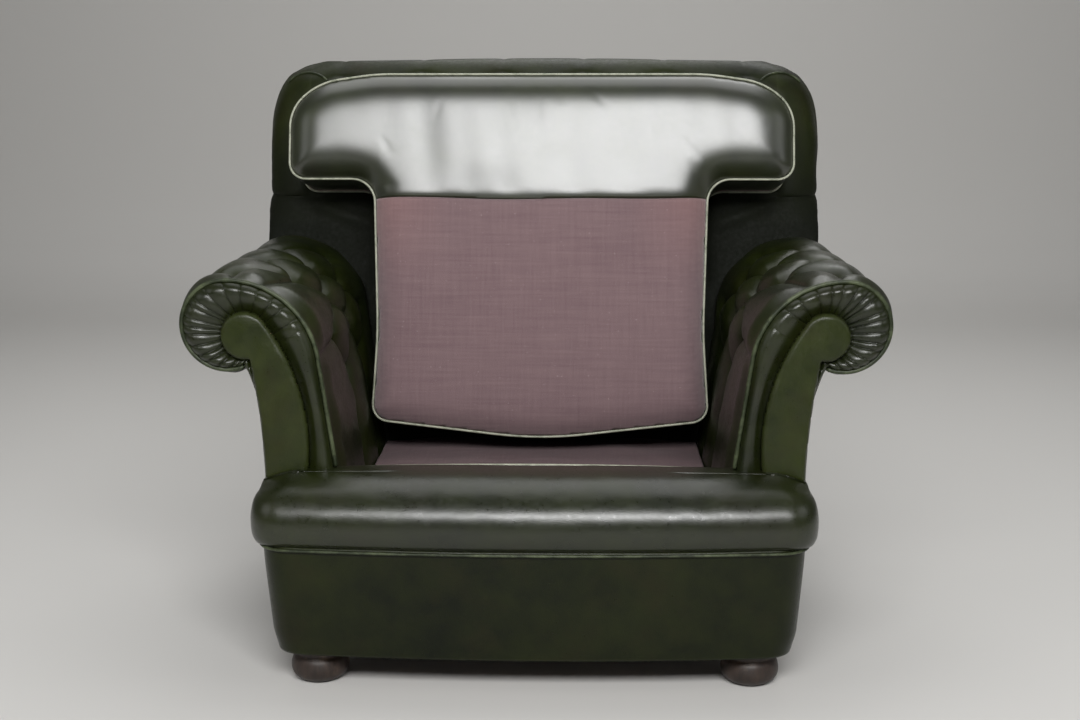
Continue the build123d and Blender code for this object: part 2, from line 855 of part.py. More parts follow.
def arm_skin(run):
    """Point and outward direction on the arm's padding, the run taken from the roll's top."""
    shoulder_run = swell_radius * radians(90 - arm_lean)
    roll = scroll_radius + arm_swell
    if run < 0:
        turn = -run / roll
        return (
            (scroll_centre_x + roll * sin(turn), scroll_centre_z + roll * cos(turn)),
            (sin(turn), cos(turn)),
        )
    turn = min(run, shoulder_run) / swell_radius
    x = scroll_centre_x - swell_radius * sin(turn)
    z = shoulder_centre_z + swell_radius * cos(turn)
    drop = max(run - shoulder_run, 0)
    x -= drop * sin(radians(arm_lean))
    z -= drop * cos(radians(arm_lean))
    return (x, z), (-sin(turn), cos(turn))


def skin_place(run, y):
    """Point and normal in space for one run across and one place along the arm."""
    (x, z), (nx, nz) = arm_skin(run)
    return (x, y, z), (nx, 0, nz)


first_tuft_y = arm_front_y + first_tuft_setback
tuft_rows = []
for row, run_share in enumerate(tuft_row_run_shares):
    run = run_share * tuft_pitch
    shift = -tuft_pitch / 2 if row % 2 == 0 else 0
    columns = [first_tuft_y + shift + column * tuft_pitch for column in range(tuft_columns)]
    height = arm_skin(run)[0][1]
    stop_y = back_front_y(height) - tuft_pitch / 3
    start_y = first_tuft_y + shift if row == 0 else first_tuft_y
    tuft_rows.append([(run, y) for y in columns if start_y <= y < stop_y])
arm_tufts = [place for row in tuft_rows for place in row]


def crease_run(first, last, parts):
    """Blades of one pleat between two buttons, following the curved padding."""
    blades = []
    for part in range(parts):
        share_a = part / parts
        share_b = (part + 1) / parts
        ends = []
        for share in (share_a, (share_a + share_b) / 2, share_b):
            run = first[0] + share * (last[0] - first[0])
            y = first[1] + share * (last[1] - first[1])
            ends.append(skin_place(run, y))
        blades.append(crease(ends[0][0], ends[1][0], ends[2][0], ends[1][1]))
    return blades


def is_outer_rim(edge):
    """Whether an edge of an arm's front lies on its outline and not on its foot."""
    return edge.center().Z > belt_height + soft_clearance or edge.length > arm_padding * 3


# Arms: padding, buttons, pleated front, facing, welt and outside panel
def arm_pad_face():
    """Padding that climbs the inside of the arm and wraps the roll down to its neck."""
    top_out, shoulder_out, roll_out = arm_curve(-arm_swell)
    top_in, shoulder_in, roll_in = arm_curve(arm_padding - arm_swell)
    foot_out = (wall_x(top_out, pad_foot_z), pad_foot_z)
    foot_in = (wall_x(top_in, pad_foot_z), pad_foot_z)
    edges = [
        Line(foot_out, top_out),
        shoulder_out,
        roll_out,
        Line(roll_out @ 0, roll_in @ 0),
        roll_in,
        shoulder_in,
        Line(top_in, foot_in),
        Line(foot_in, foot_out),
    ]
    return make_face(edges)


front_of_back = make_face(
    Polyline(
        (front_face_y, 0),
        (back_front_y(0), 0),
        (back_front_y(chair_height), chair_height),
        (front_face_y, chair_height),
        close=True,
    )
)
front_region = side_slab(front_of_back, 0, back_half_width * 2)
arm_pad = front_slab(chorded(arm_pad_face(), soft_chord_error), arm_front_y, rear_face_y) & front_region
front_rim = arm_pad.faces().sort_by(Axis.Y)[0].edges().filter_by(lambda edge: is_outer_rim(edge))
arm_pad = chamfer(front_rim, arm_front_rounding)


arm_cutters = [tuft_hollow(*skin_place(*place)) for place in arm_tufts]
for row, next_row in zip(tuft_rows, tuft_rows[1:]):
    for first in row:
        for last in next_row:
            if abs(first[1] - last[1]) < tuft_pitch:
                arm_cutters += crease_run(first, last, 2 if first[0] < 0 else 1)
for run, y in tuft_rows[0]:
    ring = front_slab(
        Pos(scroll_centre_x, scroll_centre_z) * pleat_ring(scroll_radius + arm_swell, *outer_pleat_angles),
        y - crease_width / 2,
        y + crease_width / 2,
    )
    arm_cutters.append(ring)
arm_pad -= arm_cutters
arm_pad = arm_pad - arm_post - lip_board - tack_rail
save_pair(arm_pad, "arm_pad")
arm_buttons = Compound([tuft_button(*skin_place(*place)) for place in arm_tufts])
save_pair(arm_buttons, "arm_buttons")


def pleated_front():
    """Crowned band on the arm's front, gathered in pleats that fan out from the facing."""
    section = chorded(arm_section(piping_radius + 2 * soft_clearance, belt_height), welt_chord_error)
    band_front_y = arm_front_y - pleat_band_depth
    band = front_slab(section, band_front_y, arm_front_y)
    rim = band.faces().sort_by(Axis.Y)[0].edges().filter_by(lambda edge: is_outer_rim(edge))
    band = chamfer(rim, pleat_edge_chamfer)
    first_reach = facing_disc_radius * pleat_root_share
    groove_ends = []
    for reach in (first_reach, pleat_reach):
        half_width = reach * pleat_width_share
        depth = reach * pleat_depth_share
        side = 2 * half_width
        groove_ends.append([(reach, -depth, -side), (reach, -depth, side), (reach, depth, 0)])
    groove = ringed_solid(groove_ends)
    step = (pleat_last_angle - pleat_first_angle) / (pleat_count - 1)
    grooves = []
    for number in range(pleat_count):
        turned = Rot(0, -(pleat_first_angle + number * step), 0) * groove
        grooves.append(Pos(facing_disc_x, band_front_y, facing_disc_z) * turned)
    return band - grooves


def arm_facing():
    """Comma-shaped padded facing that hides the gathers' inner ends."""
    disc = CenterArc(
        (facing_disc_x, facing_disc_z),
        facing_disc_radius,
        facing_outer_join_angle - 360,
        360 + facing_inner_join_angle - facing_outer_join_angle,
    )
    foot_inner = (facing_foot_inner_x, belt_height)
    foot_outer = (side_x(belt_height), belt_height)
    edges = [
        disc,
        ThreePointArc(disc @ 1, (facing_inner_mid_x, facing_inner_mid_z), foot_inner),
        Line(foot_inner, foot_outer),
        ThreePointArc(foot_outer, (facing_outer_mid_x, facing_outer_mid_z), disc @ 0),
    ]
    face_rear_y = arm_front_y - pleat_band_depth
    outline = chorded(make_face(edges), welt_chord_error)
    face_edge_y = face_rear_y - facing_thickness + facing_edge_bevel
    crown = offset(outline, -facing_edge_bevel, kind=Kind.INTERSECTION)
    facing = front_slab(outline, face_edge_y, face_rear_y)
    return facing + front_slab(crown, face_rear_y - facing_thickness, face_edge_y)


def arm_welt():
    """Welt from the neck under the roll, over the top and down the inside to the lip."""
    wall_top, shoulder, roll = arm_curve(0)
    welt_foot_z = belt_height + piping_radius * sin(radians(arm_lean))
    wall = Line(wall_top, (wall_x(wall_top, welt_foot_z), welt_foot_z))
    path = Plane.XZ.offset(-(arm_front_y - piping_radius)) * Wire([roll, shoulder, wall])
    return piping_along(path)


def outside_arm():
    """Leather panel over the outside of the base and arm, up to the neck under the roll."""
    outer_edges, outer_neck, outer_foot = outer_neck_curve(0, foot_height)
    inner_edges, inner_neck, inner_foot = outer_neck_curve(cover_wall, foot_height)
    ends = [Line(outer_neck, inner_neck), Line(outer_foot, inner_foot)]
    edges = [*outer_edges, *inner_edges, *ends]
    panel = front_slab(make_face(edges), arm_front_y, rear_face_y)
    before_rear = make_face(
        Polyline(
            (front_face_y, 0),
            (rear_plane_y(0) - outside_back_thickness, 0),
            (rear_plane_y(chair_height) - outside_back_thickness, chair_height),
            (front_face_y, chair_height),
            close=True,
        )
    )
    return panel & side_slab(before_rear, 0, back_half_width)


save_pair(pleated_front(), "arm_pleats")
save_pair(arm_facing(), "arm_facing")
save_pair(arm_welt(), "arm_piping")


# Padded back with its rolled top, wings and outside panel
def back_half():
    """Right half of the whole padded back before it is parted."""
    body = front_slab(back_outline(), front_face_y, rear_face_y)
    return body & side_slab(chorded(back_section(), soft_chord_error), 0, back_half_width * 2)


core_front = back_padding / cos(back_lean_rad)
core_face = make_face(
    Polyline(
        (back_front_y(0) + core_front, 0),
        (back_front_y(back_core_top) + core_front, back_core_top),
        (rear_face_y, back_core_top),
        (rear_face_y, 0),
        close=True,
    )
)
back_core = side_slab(core_face, 0, wing_split_x)
padded_half = back_half()
inner_half = (padded_half - back_core) & block(
    0, wing_split_x, front_face_y, rear_face_y, 0, chair_height
)
outer_half = padded_half - inner_half
wing_band = block(
    back_root_half_width, chair_height, front_face_y, rear_face_y, wing_seam_z, chair_height
)
lower_band = block(
    back_root_half_width, chair_height, front_face_y, rear_face_y, 0, wing_seam_z
)
save_pair(outer_half & wing_band, "wing")
lower_wing = (outer_half & lower_band) - arm_board
save_pair(lower_wing, "lower_wing")
save_pair(outside_arm() - arm_pad - lower_wing - inner_half, "outside_arm")


def roll_place(x, angle):
    """Point and normal on the top roll, its angle taken up from the front."""
    turn = radians(angle)
    point = (x, back_roll_y - back_roll_radius * cos(turn), back_roll_z + back_roll_radius * sin(turn))
    return point, (0, -cos(turn), sin(turn))


def back_wall_place(x, z):
    """Point and normal on the leaning front of the back."""
    return (x, back_front_y(z), z), (0, -cos(back_lean_rad), sin(back_lean_rad))


half_columns = (back_roll_columns - 1) / 2
roll_tufts = [
    roll_place((column - half_columns) * back_tuft_pitch, back_roll_row_angle)
    for column in range(back_roll_columns)
]
wall_tufts = [
    back_wall_place((column - half_columns + 1 / 2) * back_tuft_pitch, back_wall_row_z)
    for column in range(back_roll_columns - 1)
]
back_cutters = [tuft_hollow(*place) for place in roll_tufts + wall_tufts]
for number, (wall_point, wall_normal) in enumerate(wall_tufts):
    for roll_point, roll_normal in roll_tufts[number : number + 2]:
        middle = (Vector(*wall_point) + Vector(*roll_point)) / 2
        normal = Vector(*wall_normal) + Vector(*roll_normal)
        middle += normal.normalized() * crease_rise
        back_cutters.append(crease(wall_point, middle, roll_point, normal))
for (x, y, z), normal in roll_tufts:
    ring = Pos(back_roll_y, back_roll_z) * pleat_ring(
        back_roll_radius, -rear_pleat_angle, 180 - back_roll_row_angle
    )
    back_cutters.append(side_slab(ring, x - crease_width / 2, x + crease_width / 2))
inside_back = inner_half + other_side(inner_half)
inside_back -= back_cutters
inside_back -= [tack_rail, other_side(tack_rail), arm_board, other_side(arm_board)]
save(inside_back, "inside_back")
save(Compound([tuft_button(*place) for place in roll_tufts + wall_tufts]), "back_buttons")

wing_welt_ends = ((wing_welt_inner_x, wing_welt_inner_z), (wing_welt_mid_x, wing_welt_mid_z))
wing_welt_ends += ((wing_welt_outer_x, wing_welt_outer_z),)
welt_points = []
for x, z in wing_welt_ends:
    reach = back_roll_radius + piping_radius + soft_clearance
    welt_points.append((x, back_roll_y - sqrt(reach**2 - (z - back_roll_z) ** 2), z))
wing_welt = piping_along(ThreePointArc(*welt_points))
save(Compound([wing_welt, other_side(wing_welt)]), "wing_piping")


def rear_panel_corners(inset):
    """Corners of the outside back from its foot up one side, then down the other."""
    top = outside_back_top - inset
    heights = (foot_height, belt_height, neck_mid_z, wing_seam_z, top)
    edge = neck_mid_x
    widths = (base_half_width, belt_half_width, edge, back_half_width, back_half_width)
    corners = [(x - inset, z) for x, z in zip(widths, heights)]
    return corners + [(-x, z) for x, z in reversed(corners)]


rake_rad = radians(rear_rake)
rear_plane = Plane(
    origin=(0, rear_plane_y(foot_height), foot_height),
    x_dir=(1, 0, 0),
    z_dir=(0, -cos(rake_rad), sin(rake_rad)),
)


def on_rear_plane(corners):
    """Front-view corners laid in the raked rear plane."""
    return [(x, (z - foot_height) / cos(rake_rad)) for x, z in corners]


def rounded_rear_path(inset):
    """Open path up one side of the outside back, over its top and down again."""
    corners = on_rear_plane(rear_panel_corners(inset))
    return FilletPolyline(*corners, radius=[rear_welt_bend] * (len(corners) - 2))


panel_path = rounded_rear_path(outside_back_inset)
panel_face = make_face([panel_path, Line(panel_path @ 1, panel_path @ 0)])
panel_depth = outside_back_thickness * cos(rake_rad)
save(extrude(rear_plane * panel_face, panel_depth), "outside_back")
welt_inset = outside_back_inset - piping_radius - soft_clearance
welt_depth = panel_depth - piping_radius - soft_clearance
welt_path = rear_plane.offset(welt_depth) * rounded_rear_path(welt_inset)
save(piping_along(welt_path), "outside_back_piping")


# Loose back cushion
cushion_front = back_front_y(deck_top + soft_clearance) - soft_clearance / cos(back_lean_rad)
cushion_plane = Plane(
    origin=(
        0,
        cushion_front - cushion_thickness * cos(back_lean_rad),
        deck_top + soft_clearance + cushion_thickness * sin(back_lean_rad),
    ),
    x_dir=(1, 0, 0),
    z_dir=(0, -cos(back_lean_rad), sin(back_lean_rad)),
)


def cushion_outline():
    """Corners and corner radii of the T outline, the right side first."""
    corners = [
        (0, 0),
        (cushion_body_half_width, cushion_corner_height),
        (cushion_waist_half_width, cushion_waist_height),
        (cushion_body_half_width, cushion_ear_height),
        (cushion_ear_half_width, cushion_ear_height),
        (cushion_ear_half_width, cushion_height),
    ]
    radii = [
        cushion_belly_radius,
        cushion_foot_corner_radius,
        cushion_waist_radius,
        cushion_armpit_radius,
        cushion_ear_corner_radius,
        cushion_top_corner_radius,
    ]
    corners += [(-x, v) for x, v in reversed(corners[1:])]
    radii += list(reversed(radii[1:]))
    return corners, radii


def cushion_face(inset):
    """T outline stepped in from the seam line."""
    corners, radii = cushion_outline()
    face = chorded(make_face(FilletPolyline(*corners, radius=radii, close=True)), soft_chord_error)
    return offset(face, -inset, kind=Kind.INTERSECTION) if inset else face


def cushion_slab(face, front, rear):
    """Cushion outline made solid between two depths behind its front seam."""
    return extrude(cushion_plane.offset(-rear) * face, rear - front)


def crown_face(half_span):
    """Bow over a flat root, in a section of the cushion, its highest place forward."""
    edge = cushion_crown - cushion_bow
    root = -cushion_panel_root
    bow = ThreePointArc((-half_span, edge), (0, cushion_crown), (half_span, edge))
    left = Line((-half_span, root), (-half_span, edge))
    right = Line((half_span, edge), (half_span, root))
    return make_face([bow, left, right, Line((half_span, root), (-half_span, root))])


def crowned_panel():
    """Whole crowned front of the cushion before its seam parts leather from cloth."""
    panel = cushion_slab(cushion_face(piping_radius + soft_clearance), -cushion_crown, cushion_panel_root)
    forward = Axis(cushion_plane.origin, cushion_plane.z_dir)
    rim = panel.faces().sort_by(forward)[-1].edges()
    panel = chamfer(rim, cushion_edge_bevel)
    half_height = cushion_height / 2
    up_plane = cushion_plane * Plane(
        origin=(-cushion_ear_half_width, half_height, 0), x_dir=(0, 1, 0), z_dir=(1, 0, 0)
    )
    across_plane = cushion_plane * Plane(origin=(0, 0, 0), x_dir=(1, 0, 0), z_dir=(0, -1, 0))
    up_bow = extrude(up_plane * crown_face(half_height), 2 * cushion_ear_half_width)
    across_bow = extrude(across_plane * crown_face(cushion_ear_half_width), -cushion_height)
    return panel & up_bow & across_bow


front_panel = crowned_panel()
wide = 2 * cushion_ear_half_width
deep = 2 * cushion_thickness
upper = cushion_plane * block(-wide, wide, cushion_seam_height, cushion_height, -deep, deep)
lower = cushion_plane * block(-wide, wide, -cushion_height, cushion_seam_height, -deep, deep)
save(front_panel & upper, "cushion_leather_panel")
save(front_panel & lower, "cushion_fabric_panel")
rear_panel_front = cushion_thickness - cushion_rear_wall
filling_face = cushion_face(cushion_cover_wall + soft_clearance)
filling = cushion_slab(filling_face, cushion_panel_root, rear_panel_front)
save(filling, "cushion_filling")
boxing_front = 2 * piping_radius
boxing_rear = cushion_thickness - 2 * piping_radius
ring = cushion_face(0) - cushion_face(cushion_cover_wall)
save(cushion_slab(ring, boxing_front, boxing_rear), "cushion_boxing")
rear_panel = cushion_slab(cushion_face(piping_radius + soft_clearance), rear_panel_front, cushion_thickness)
save(rear_panel, "cushion_rear_panel")
welt_outline = cushion_face(0).wires()[0]
front_welt = piping_along(cushion_plane.offset(-piping_radius) * welt_outline)
rear_welt = piping_along(cushion_plane.offset(piping_radius - cushion_thickness) * welt_outline)
save(Compound([front_welt, rear_welt]), "cushion_piping")
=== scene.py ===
"""Dress the club armchair: leather, cloth, buttons, pleats, welts and turned feet."""

from math import atan2, ceil, cos, pi, radians, sin, sqrt, tan

import bpy
import numpy as np
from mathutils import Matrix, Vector


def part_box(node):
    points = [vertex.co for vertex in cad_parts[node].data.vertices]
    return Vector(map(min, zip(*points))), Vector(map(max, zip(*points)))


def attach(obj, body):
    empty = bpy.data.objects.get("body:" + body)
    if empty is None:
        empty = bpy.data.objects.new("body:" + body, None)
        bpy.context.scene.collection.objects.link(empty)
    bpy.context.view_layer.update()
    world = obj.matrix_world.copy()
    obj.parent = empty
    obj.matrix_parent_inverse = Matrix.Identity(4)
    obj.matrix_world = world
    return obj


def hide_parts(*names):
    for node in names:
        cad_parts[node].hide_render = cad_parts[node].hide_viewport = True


bl_info = {
    "name": "Buttoned Club Armchair",
    "version": (1, 0, 0),
    "blender": (4, 5, 0),
    "location": "3D View > Sidebar > Armchair",
    "description": "Upholsters the armchair's frame in leather and cloth",
    "category": "Object",
}

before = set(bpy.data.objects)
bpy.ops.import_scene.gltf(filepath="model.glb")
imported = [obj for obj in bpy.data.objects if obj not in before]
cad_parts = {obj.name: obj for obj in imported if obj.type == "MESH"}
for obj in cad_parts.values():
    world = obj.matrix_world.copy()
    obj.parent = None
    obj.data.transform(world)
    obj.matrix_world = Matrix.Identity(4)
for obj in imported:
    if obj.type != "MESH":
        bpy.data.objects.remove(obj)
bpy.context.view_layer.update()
CHAIR = "chair"
CUSHION = "back_cushion"

# Shared sizes of the chair, in metres and radians
FRONT_Y = -0.465
ARM_FRONT_Y = -0.336
REAR_FOOT_Y = 0.402
BASE_HALF_WIDTH = 0.402
BASE_SPREAD = 0.020
BELT_Z = 0.335
BACK_FOOT_Z = 0.236
BACK_TOP_Z = 0.822
LEDGE_Z = 0.235
FOOT_Z = 0.058
SCROLL_X = 0.4755
SCROLL_Z = 0.561
SCROLL_R = 0.070
ARM_HOLLOW = (0.4285, 0.430)
SHOULDER_Z = 0.490
SHOULDER_R = 0.141
LEAN = radians(8.0)
NECK_TURN = radians(248.0)
SWELL = 0.0065
DISC = (0.446, 0.546)
DISC_R = 0.0385
BACK_LEAN = radians(13.2)
ROLL_Y = 0.375
ROLL_Z = 0.885
ROLL_R = 0.090
ROLL_START_Y = 0.28738
ROLL_START_Z = 0.90555
WING_SEAM_X = 0.445
WING_SEAM_Z = 0.715
DECK_Z = 0.269
WELT_R = 0.004
REAR_RAKE = radians(3.4)

# Thicknesses of the skins
PAD_SKIN = 0.007
LIP_SKIN = 0.006
COVER_SKIN = 0.004
PANEL_SKIN = 0.0035
THIN_SKIN = 0.003
LINING_SKIN = 0.0008


def colour_value(name, description, default):
    """A colour that a user can change."""
    return bpy.props.FloatVectorProperty(
        name=name, description=description, subtype="COLOR", size=3, min=0, max=1, default=default)


def length_value(name, description, most, default):
    """A length that a user can change."""
    return bpy.props.FloatProperty(
        name=name, description=description, unit="LENGTH", min=0, max=most, default=default)


class ChairLooks(bpy.types.PropertyGroup):
    """Colours and surface values a user would change."""

    leather_dark: colour_value(
        "Leather, deep", "Leather colour in folds and worn-dark areas", (0.0046, 0.0070, 0.0014))
    leather_light: colour_value(
        "Leather, rubbed", "Leather colour where it is rubbed and lit", (0.0175, 0.0230, 0.0036))
    leather_brown: colour_value(
        "Leather, antiqued", "Brown tone that the antique finish leaves", (0.0125, 0.0098, 0.0030))
    # the welts' pale colour is partly rubbed wear and partly a painted highlight along each welt
    welt_wear_and_highlight: colour_value("Welt, rubbed", "Pale colour of the rubbed welts", (0.34, 0.35, 0.27))
    cloth_warp: colour_value("Cloth, warp", "Lighter thread of the mauve cloth", (0.270, 0.186, 0.190))
    cloth_weft: colour_value("Cloth, weft", "Darker thread of the mauve cloth", (0.172, 0.112, 0.122))
    foot_colour: colour_value("Foot stain", "Dark stain of the turned feet", (0.012, 0.0075, 0.0055))
    grain: bpy.props.FloatProperty(
        name="Leather grain", description="Strength of the leather's grain",
        subtype="FACTOR", min=0, max=1, default=0.35)


class ChairSizes(bpy.types.PropertyGroup):
    """Sizes of the upholstery a user would change."""

    pillow: length_value("Pillow height", "How far the padding swells between its pleats", 0.03, 0.014)
    pleat: length_value("Pleat depth", "How deep a pleat is drawn between two buttons", 0.02, 0.007)
    dimple: length_value("Button depth", "How deep a button is drawn into the padding", 0.03, 0.013)
    crown: length_value("Cushion crown", "How far the back cushion's front stands proud", 0.05, 0.024)


# Shader groups and finishes by name
MATERIAL_GROUPS = {}
FINISHES = {}

# A direction that no welt runs along
OFF_AXIS = (0.3, 0.5, 0.8)
# Shares of a grid's cell: points nearer to an outline are moved onto it, points further out are cut off
SNAP_SHARE = 0.35
TRIM_SHARE = 0.55
# Roughness that evened leather comes to
EVEN_ROUGHNESS = 0.38


# Working with meshes
def clear_selection():
    """Leave nothing selected, so an operator acts only on its own piece."""
    bpy.ops.object.select_all(action="DESELECT")


def pick_only(piece):
    """Select one piece alone and make it the active one."""
    clear_selection()
    bpy.context.view_layer.objects.active = piece
    piece.select_set(True)


def apply_modifier(piece, kind, **settings):
    """Add a modifier to a piece and apply it."""
    pick_only(piece)
    bpy.ops.object.modifier_add(type=kind)
    modifier = piece.modifiers[-1]
    for key, value in settings.items():
        setattr(modifier, key, value)
    bpy.ops.object.modifier_apply(modifier=modifier.name)


def points_of(piece):
    """The places of a piece's points, in rows of x, y and z."""
    spots = np.empty(len(piece.data.vertices) * 3)
    piece.data.vertices.foreach_get("co", spots)
    return spots.reshape(-1, 3)


def mark(piece, layer, picks):
    """Leave only some of a piece's points or faces selected for edit mode."""
    for name in ("vertices", "edges", "polygons"):
        parts = getattr(piece.data, name)
        parts.foreach_set("select", picks if name == layer else np.zeros(len(parts), bool))


def field_grid(name, columns, rows):
    """A flat grid and the two shares, from 0 to 1, of each of its points."""
    clear_selection()
    bpy.ops.mesh.primitive_grid_add(x_subdivisions=columns, y_subdivisions=rows, size=2)
    piece = bpy.context.active_object
    piece.name = name
    piece.data.name = name
    spots = points_of(piece)
    return piece, (spots[:, 0] + 1) / 2, (spots[:, 1] + 1) / 2


def lay(piece, x, y, z):
    """Move every point of a piece to its place."""
    spots = np.stack([x, y, z], axis=1).astype(float)
    piece.data.vertices.foreach_set("co", spots.ravel())
    piece.data.update()


def edit_all(piece, *steps):
    """Run edit-mode steps on a whole piece."""
    pick_only(piece)
    bpy.ops.object.mode_set(mode="EDIT")
    bpy.ops.mesh.select_all(action="SELECT")
    for step in steps:
        step()
    bpy.ops.object.mode_set(mode="OBJECT")


def weld_doubles():
    """Join points that lie on each other."""
    bpy.ops.mesh.remove_doubles(threshold=0.00002)


def outward_normals():
    """Turn a closed piece's faces outwards."""
    bpy.ops.mesh.normals_make_consistent(inside=False)


def turn_over():
    """Turn the faces over."""
    bpy.ops.mesh.flip_normals()


def face_towards(piece, direction):
    """Turn an open panel over if its faces point away from a direction."""
    total = sum((face.normal * face.area for face in piece.data.polygons), Vector())
    if total.dot(Vector(direction)) < 0:
        edit_all(piece, turn_over)


def thicken(piece, depth):
    """Give an open skin its thickness behind its face."""
    apply_modifier(piece, "SOLIDIFY", thickness=depth, offset=-1)


def finish_piece(piece, finish, nodes, body=CHAIR, sharp=None):
    """Smooth a piece, give it its finish and tie it to the frame."""
    pick_only(piece)
    bpy.ops.object.shade_smooth()
    if sharp is not None:
        bpy.ops.object.shade_smooth_by_angle(angle=sharp)
    piece.data.materials.clear()
    piece.data.materials.append(FINISHES[finish])
    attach(piece, body)
    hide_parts(*nodes)
    return piece


def finish_skin(piece, direction, depth, finish, nodes, body=CHAIR):
    """Face an open skin one way, give it its thickness and finish it."""
    face_towards(piece, direction)
    thicken(piece, depth)
    return finish_piece(piece, finish, nodes, body)


def join_pieces(pieces, name):
    """Make one piece of several."""
    clear_selection()
    for piece in pieces:
        piece.select_set(True)
    bpy.context.view_layer.objects.active = pieces[0]
    if len(pieces) > 1:
        bpy.ops.object.join()
    pieces[0].name = name
    return pieces[0]


def waves(x, y, seed, scale, count=7):
    """Gentle unevenness of hand-stuffed padding, about -1 to 1."""
    rng = np.random.default_rng(seed)
    total = np.zeros_like(x)
    for _ in range(count):
        turn = rng.uniform(0, 2 * pi)
        pace = rng.uniform(0.6, 1.6) * 2 * pi / scale
        total += np.sin((x * cos(turn) + y * sin(turn)) * pace + rng.uniform(0, 2 * pi))
    return total / sqrt(count) / 1.5


def ease(value, low, high):
    """Smooth step from 0 to 1 between two values."""
    share = np.clip((value - low) / (high - low), 0, 1)
    return share * share * (3 - 2 * share)


def rise_over(gap, reach):
    """From 0 towards 1 with distance."""
    return 1 - np.exp(-gap / reach)


def bell(gap, reach):
    """From 1 down to 0 with distance on either side."""
    return np.exp(-((gap / reach) ** 2))


def segment_gap(px, py, ax, ay, bx, by):
    """Distance from points to a segment, its signed side and its share along."""
    dx, dy = bx - ax, by - ay
    size = max(dx * dx + dy * dy, 1e-12)
    share = np.clip(((px - ax) * dx + (py - ay) * dy) / size, 0, 1)
    gx, gy = px - ax - share * dx, py - ay - share * dy
    return np.hypot(gx, gy), np.sign(gx * dy - gy * dx), share


def blur(field, rounds):
    """Even out a field on a regular grid."""
    for _ in range(rounds):
        for _ in range(2):
            edged = np.pad(field, ((1, 1), (0, 0)), mode="edge")
            field = (0.5 * field + 0.25 * (edged[2:] + edged[:-2])).T
    return field


def buttoned_relief(s, y, pleats, buttons, sizes, rounds=0):
    """Height of deep-buttoned padding over its smooth base."""
    nearest = np.full_like(s, 1.0)
    fold = np.zeros_like(s)
    for ax, ay, bx, by, depth in pleats:
        gap, side, share = segment_gap(s, y, ax, ay, bx, by)
        nearest = np.minimum(nearest, gap + (1 - depth) * 0.03)
        reach = np.where(side > 0, 0.0030, 0.0075)
        fold = np.maximum(fold, depth * np.exp(-gap / reach))
    dip = np.zeros_like(s)
    for bs, by in buttons:
        gap = np.hypot(s - bs, y - by)
        dip = np.maximum(dip, np.exp(-((gap / 0.017) ** 1.6)))
        nearest = np.minimum(nearest, gap)
    pillow = sizes.pillow * (1 - np.exp(-((nearest / 0.026) ** 1.15)))
    if rounds:
        pillow = blur(pillow, rounds)
    return pillow - sizes.pleat * fold - sizes.dimple * dip


def rounded_outline(corners, radii, step=0.004):
    """Closed outline through corners with arcs of given radii."""
    count = len(corners)
    outline = []
    for index in range(count):
        here = np.array(corners[index])
        before = np.array(corners[index - 1])
        after = np.array(corners[(index + 1) % count])
        radius = radii[index]
        into = (before - here) / np.linalg.norm(before - here)
        out = (after - here) / np.linalg.norm(after - here)
        bend = np.arccos(np.clip(np.dot(into, out), -1, 1))
        if radius <= 0 or bend > pi - 0.01:
            outline.append(here)
            continue
        reach = radius / tan(bend / 2)
        start, stop = here + into * reach, here + out * reach
        centre = here + (into + out) / np.linalg.norm(into + out) * radius / sin(bend / 2)
        first = atan2(*(start - centre)[::-1])
        sweep = atan2(*(stop - centre)[::-1]) - first
        sweep = (sweep + pi) % (2 * pi) - pi
        parts = max(3, ceil(abs(sweep) * radius / step))
        outline += [on_circle(*centre, radius, first + sweep * part / parts) for part in range(parts + 1)]
    return np.array(outline)


def along_path(points, places_for):
    """Points of a path at the run lengths that are chosen from its whole length."""
    travel = run_lengths(points)
    places = places_for(travel[-1])
    return np.stack([np.interp(places, travel, values) for values in points.T], axis=1)


def run_lengths(points):
    """Length of the path up to each of its points."""
    return np.concatenate([[0], np.cumsum(np.linalg.norm(np.diff(points, axis=0), axis=1))])


def on_path(values, share):
    """Values along a path, read at shares of it from 0 to 1."""
    return np.interp(share, np.linspace(0, 1, len(values)), values)


def evenly(points, step, looped=False):
    """A path's points spaced evenly."""
    points = np.asarray(points, float)
    if looped:
        points = np.vstack([points, points[:1]])
    points = points[np.concatenate([[True], np.linalg.norm(np.diff(points, axis=0), axis=1) > 1e-9])]

    def places(total):
        return np.linspace(0, total, max(3, int(round(total / step))) + 1)

    spaced = along_path(points, places)
    return spaced[:-1] if looped else spaced


def inside_gap(px, py, outline):
    """Signed distance to an outline, more than 0 inside, and the nearest place on it."""
    gap = np.full(px.shape, 1e9)
    near_x, near_y = px.copy(), py.copy()
    inside = np.zeros(px.shape, bool)
    for (ax, ay), (bx, by) in zip(outline, np.roll(outline, -1, axis=0)):
        dist, _, share = segment_gap(px, py, ax, ay, bx, by)
        closer = dist < gap
        gap = np.where(closer, dist, gap)
        near_x = np.where(closer, ax + share * (bx - ax), near_x)
        near_y = np.where(closer, ay + share * (by - ay), near_y)
        if ay != by:
            crosses = ((ay > py) != (by > py)) & (px < (bx - ax) * (py - ay) / (by - ay) + ax)
            inside ^= crosses
    return np.where(inside, gap, -gap), near_x, near_y


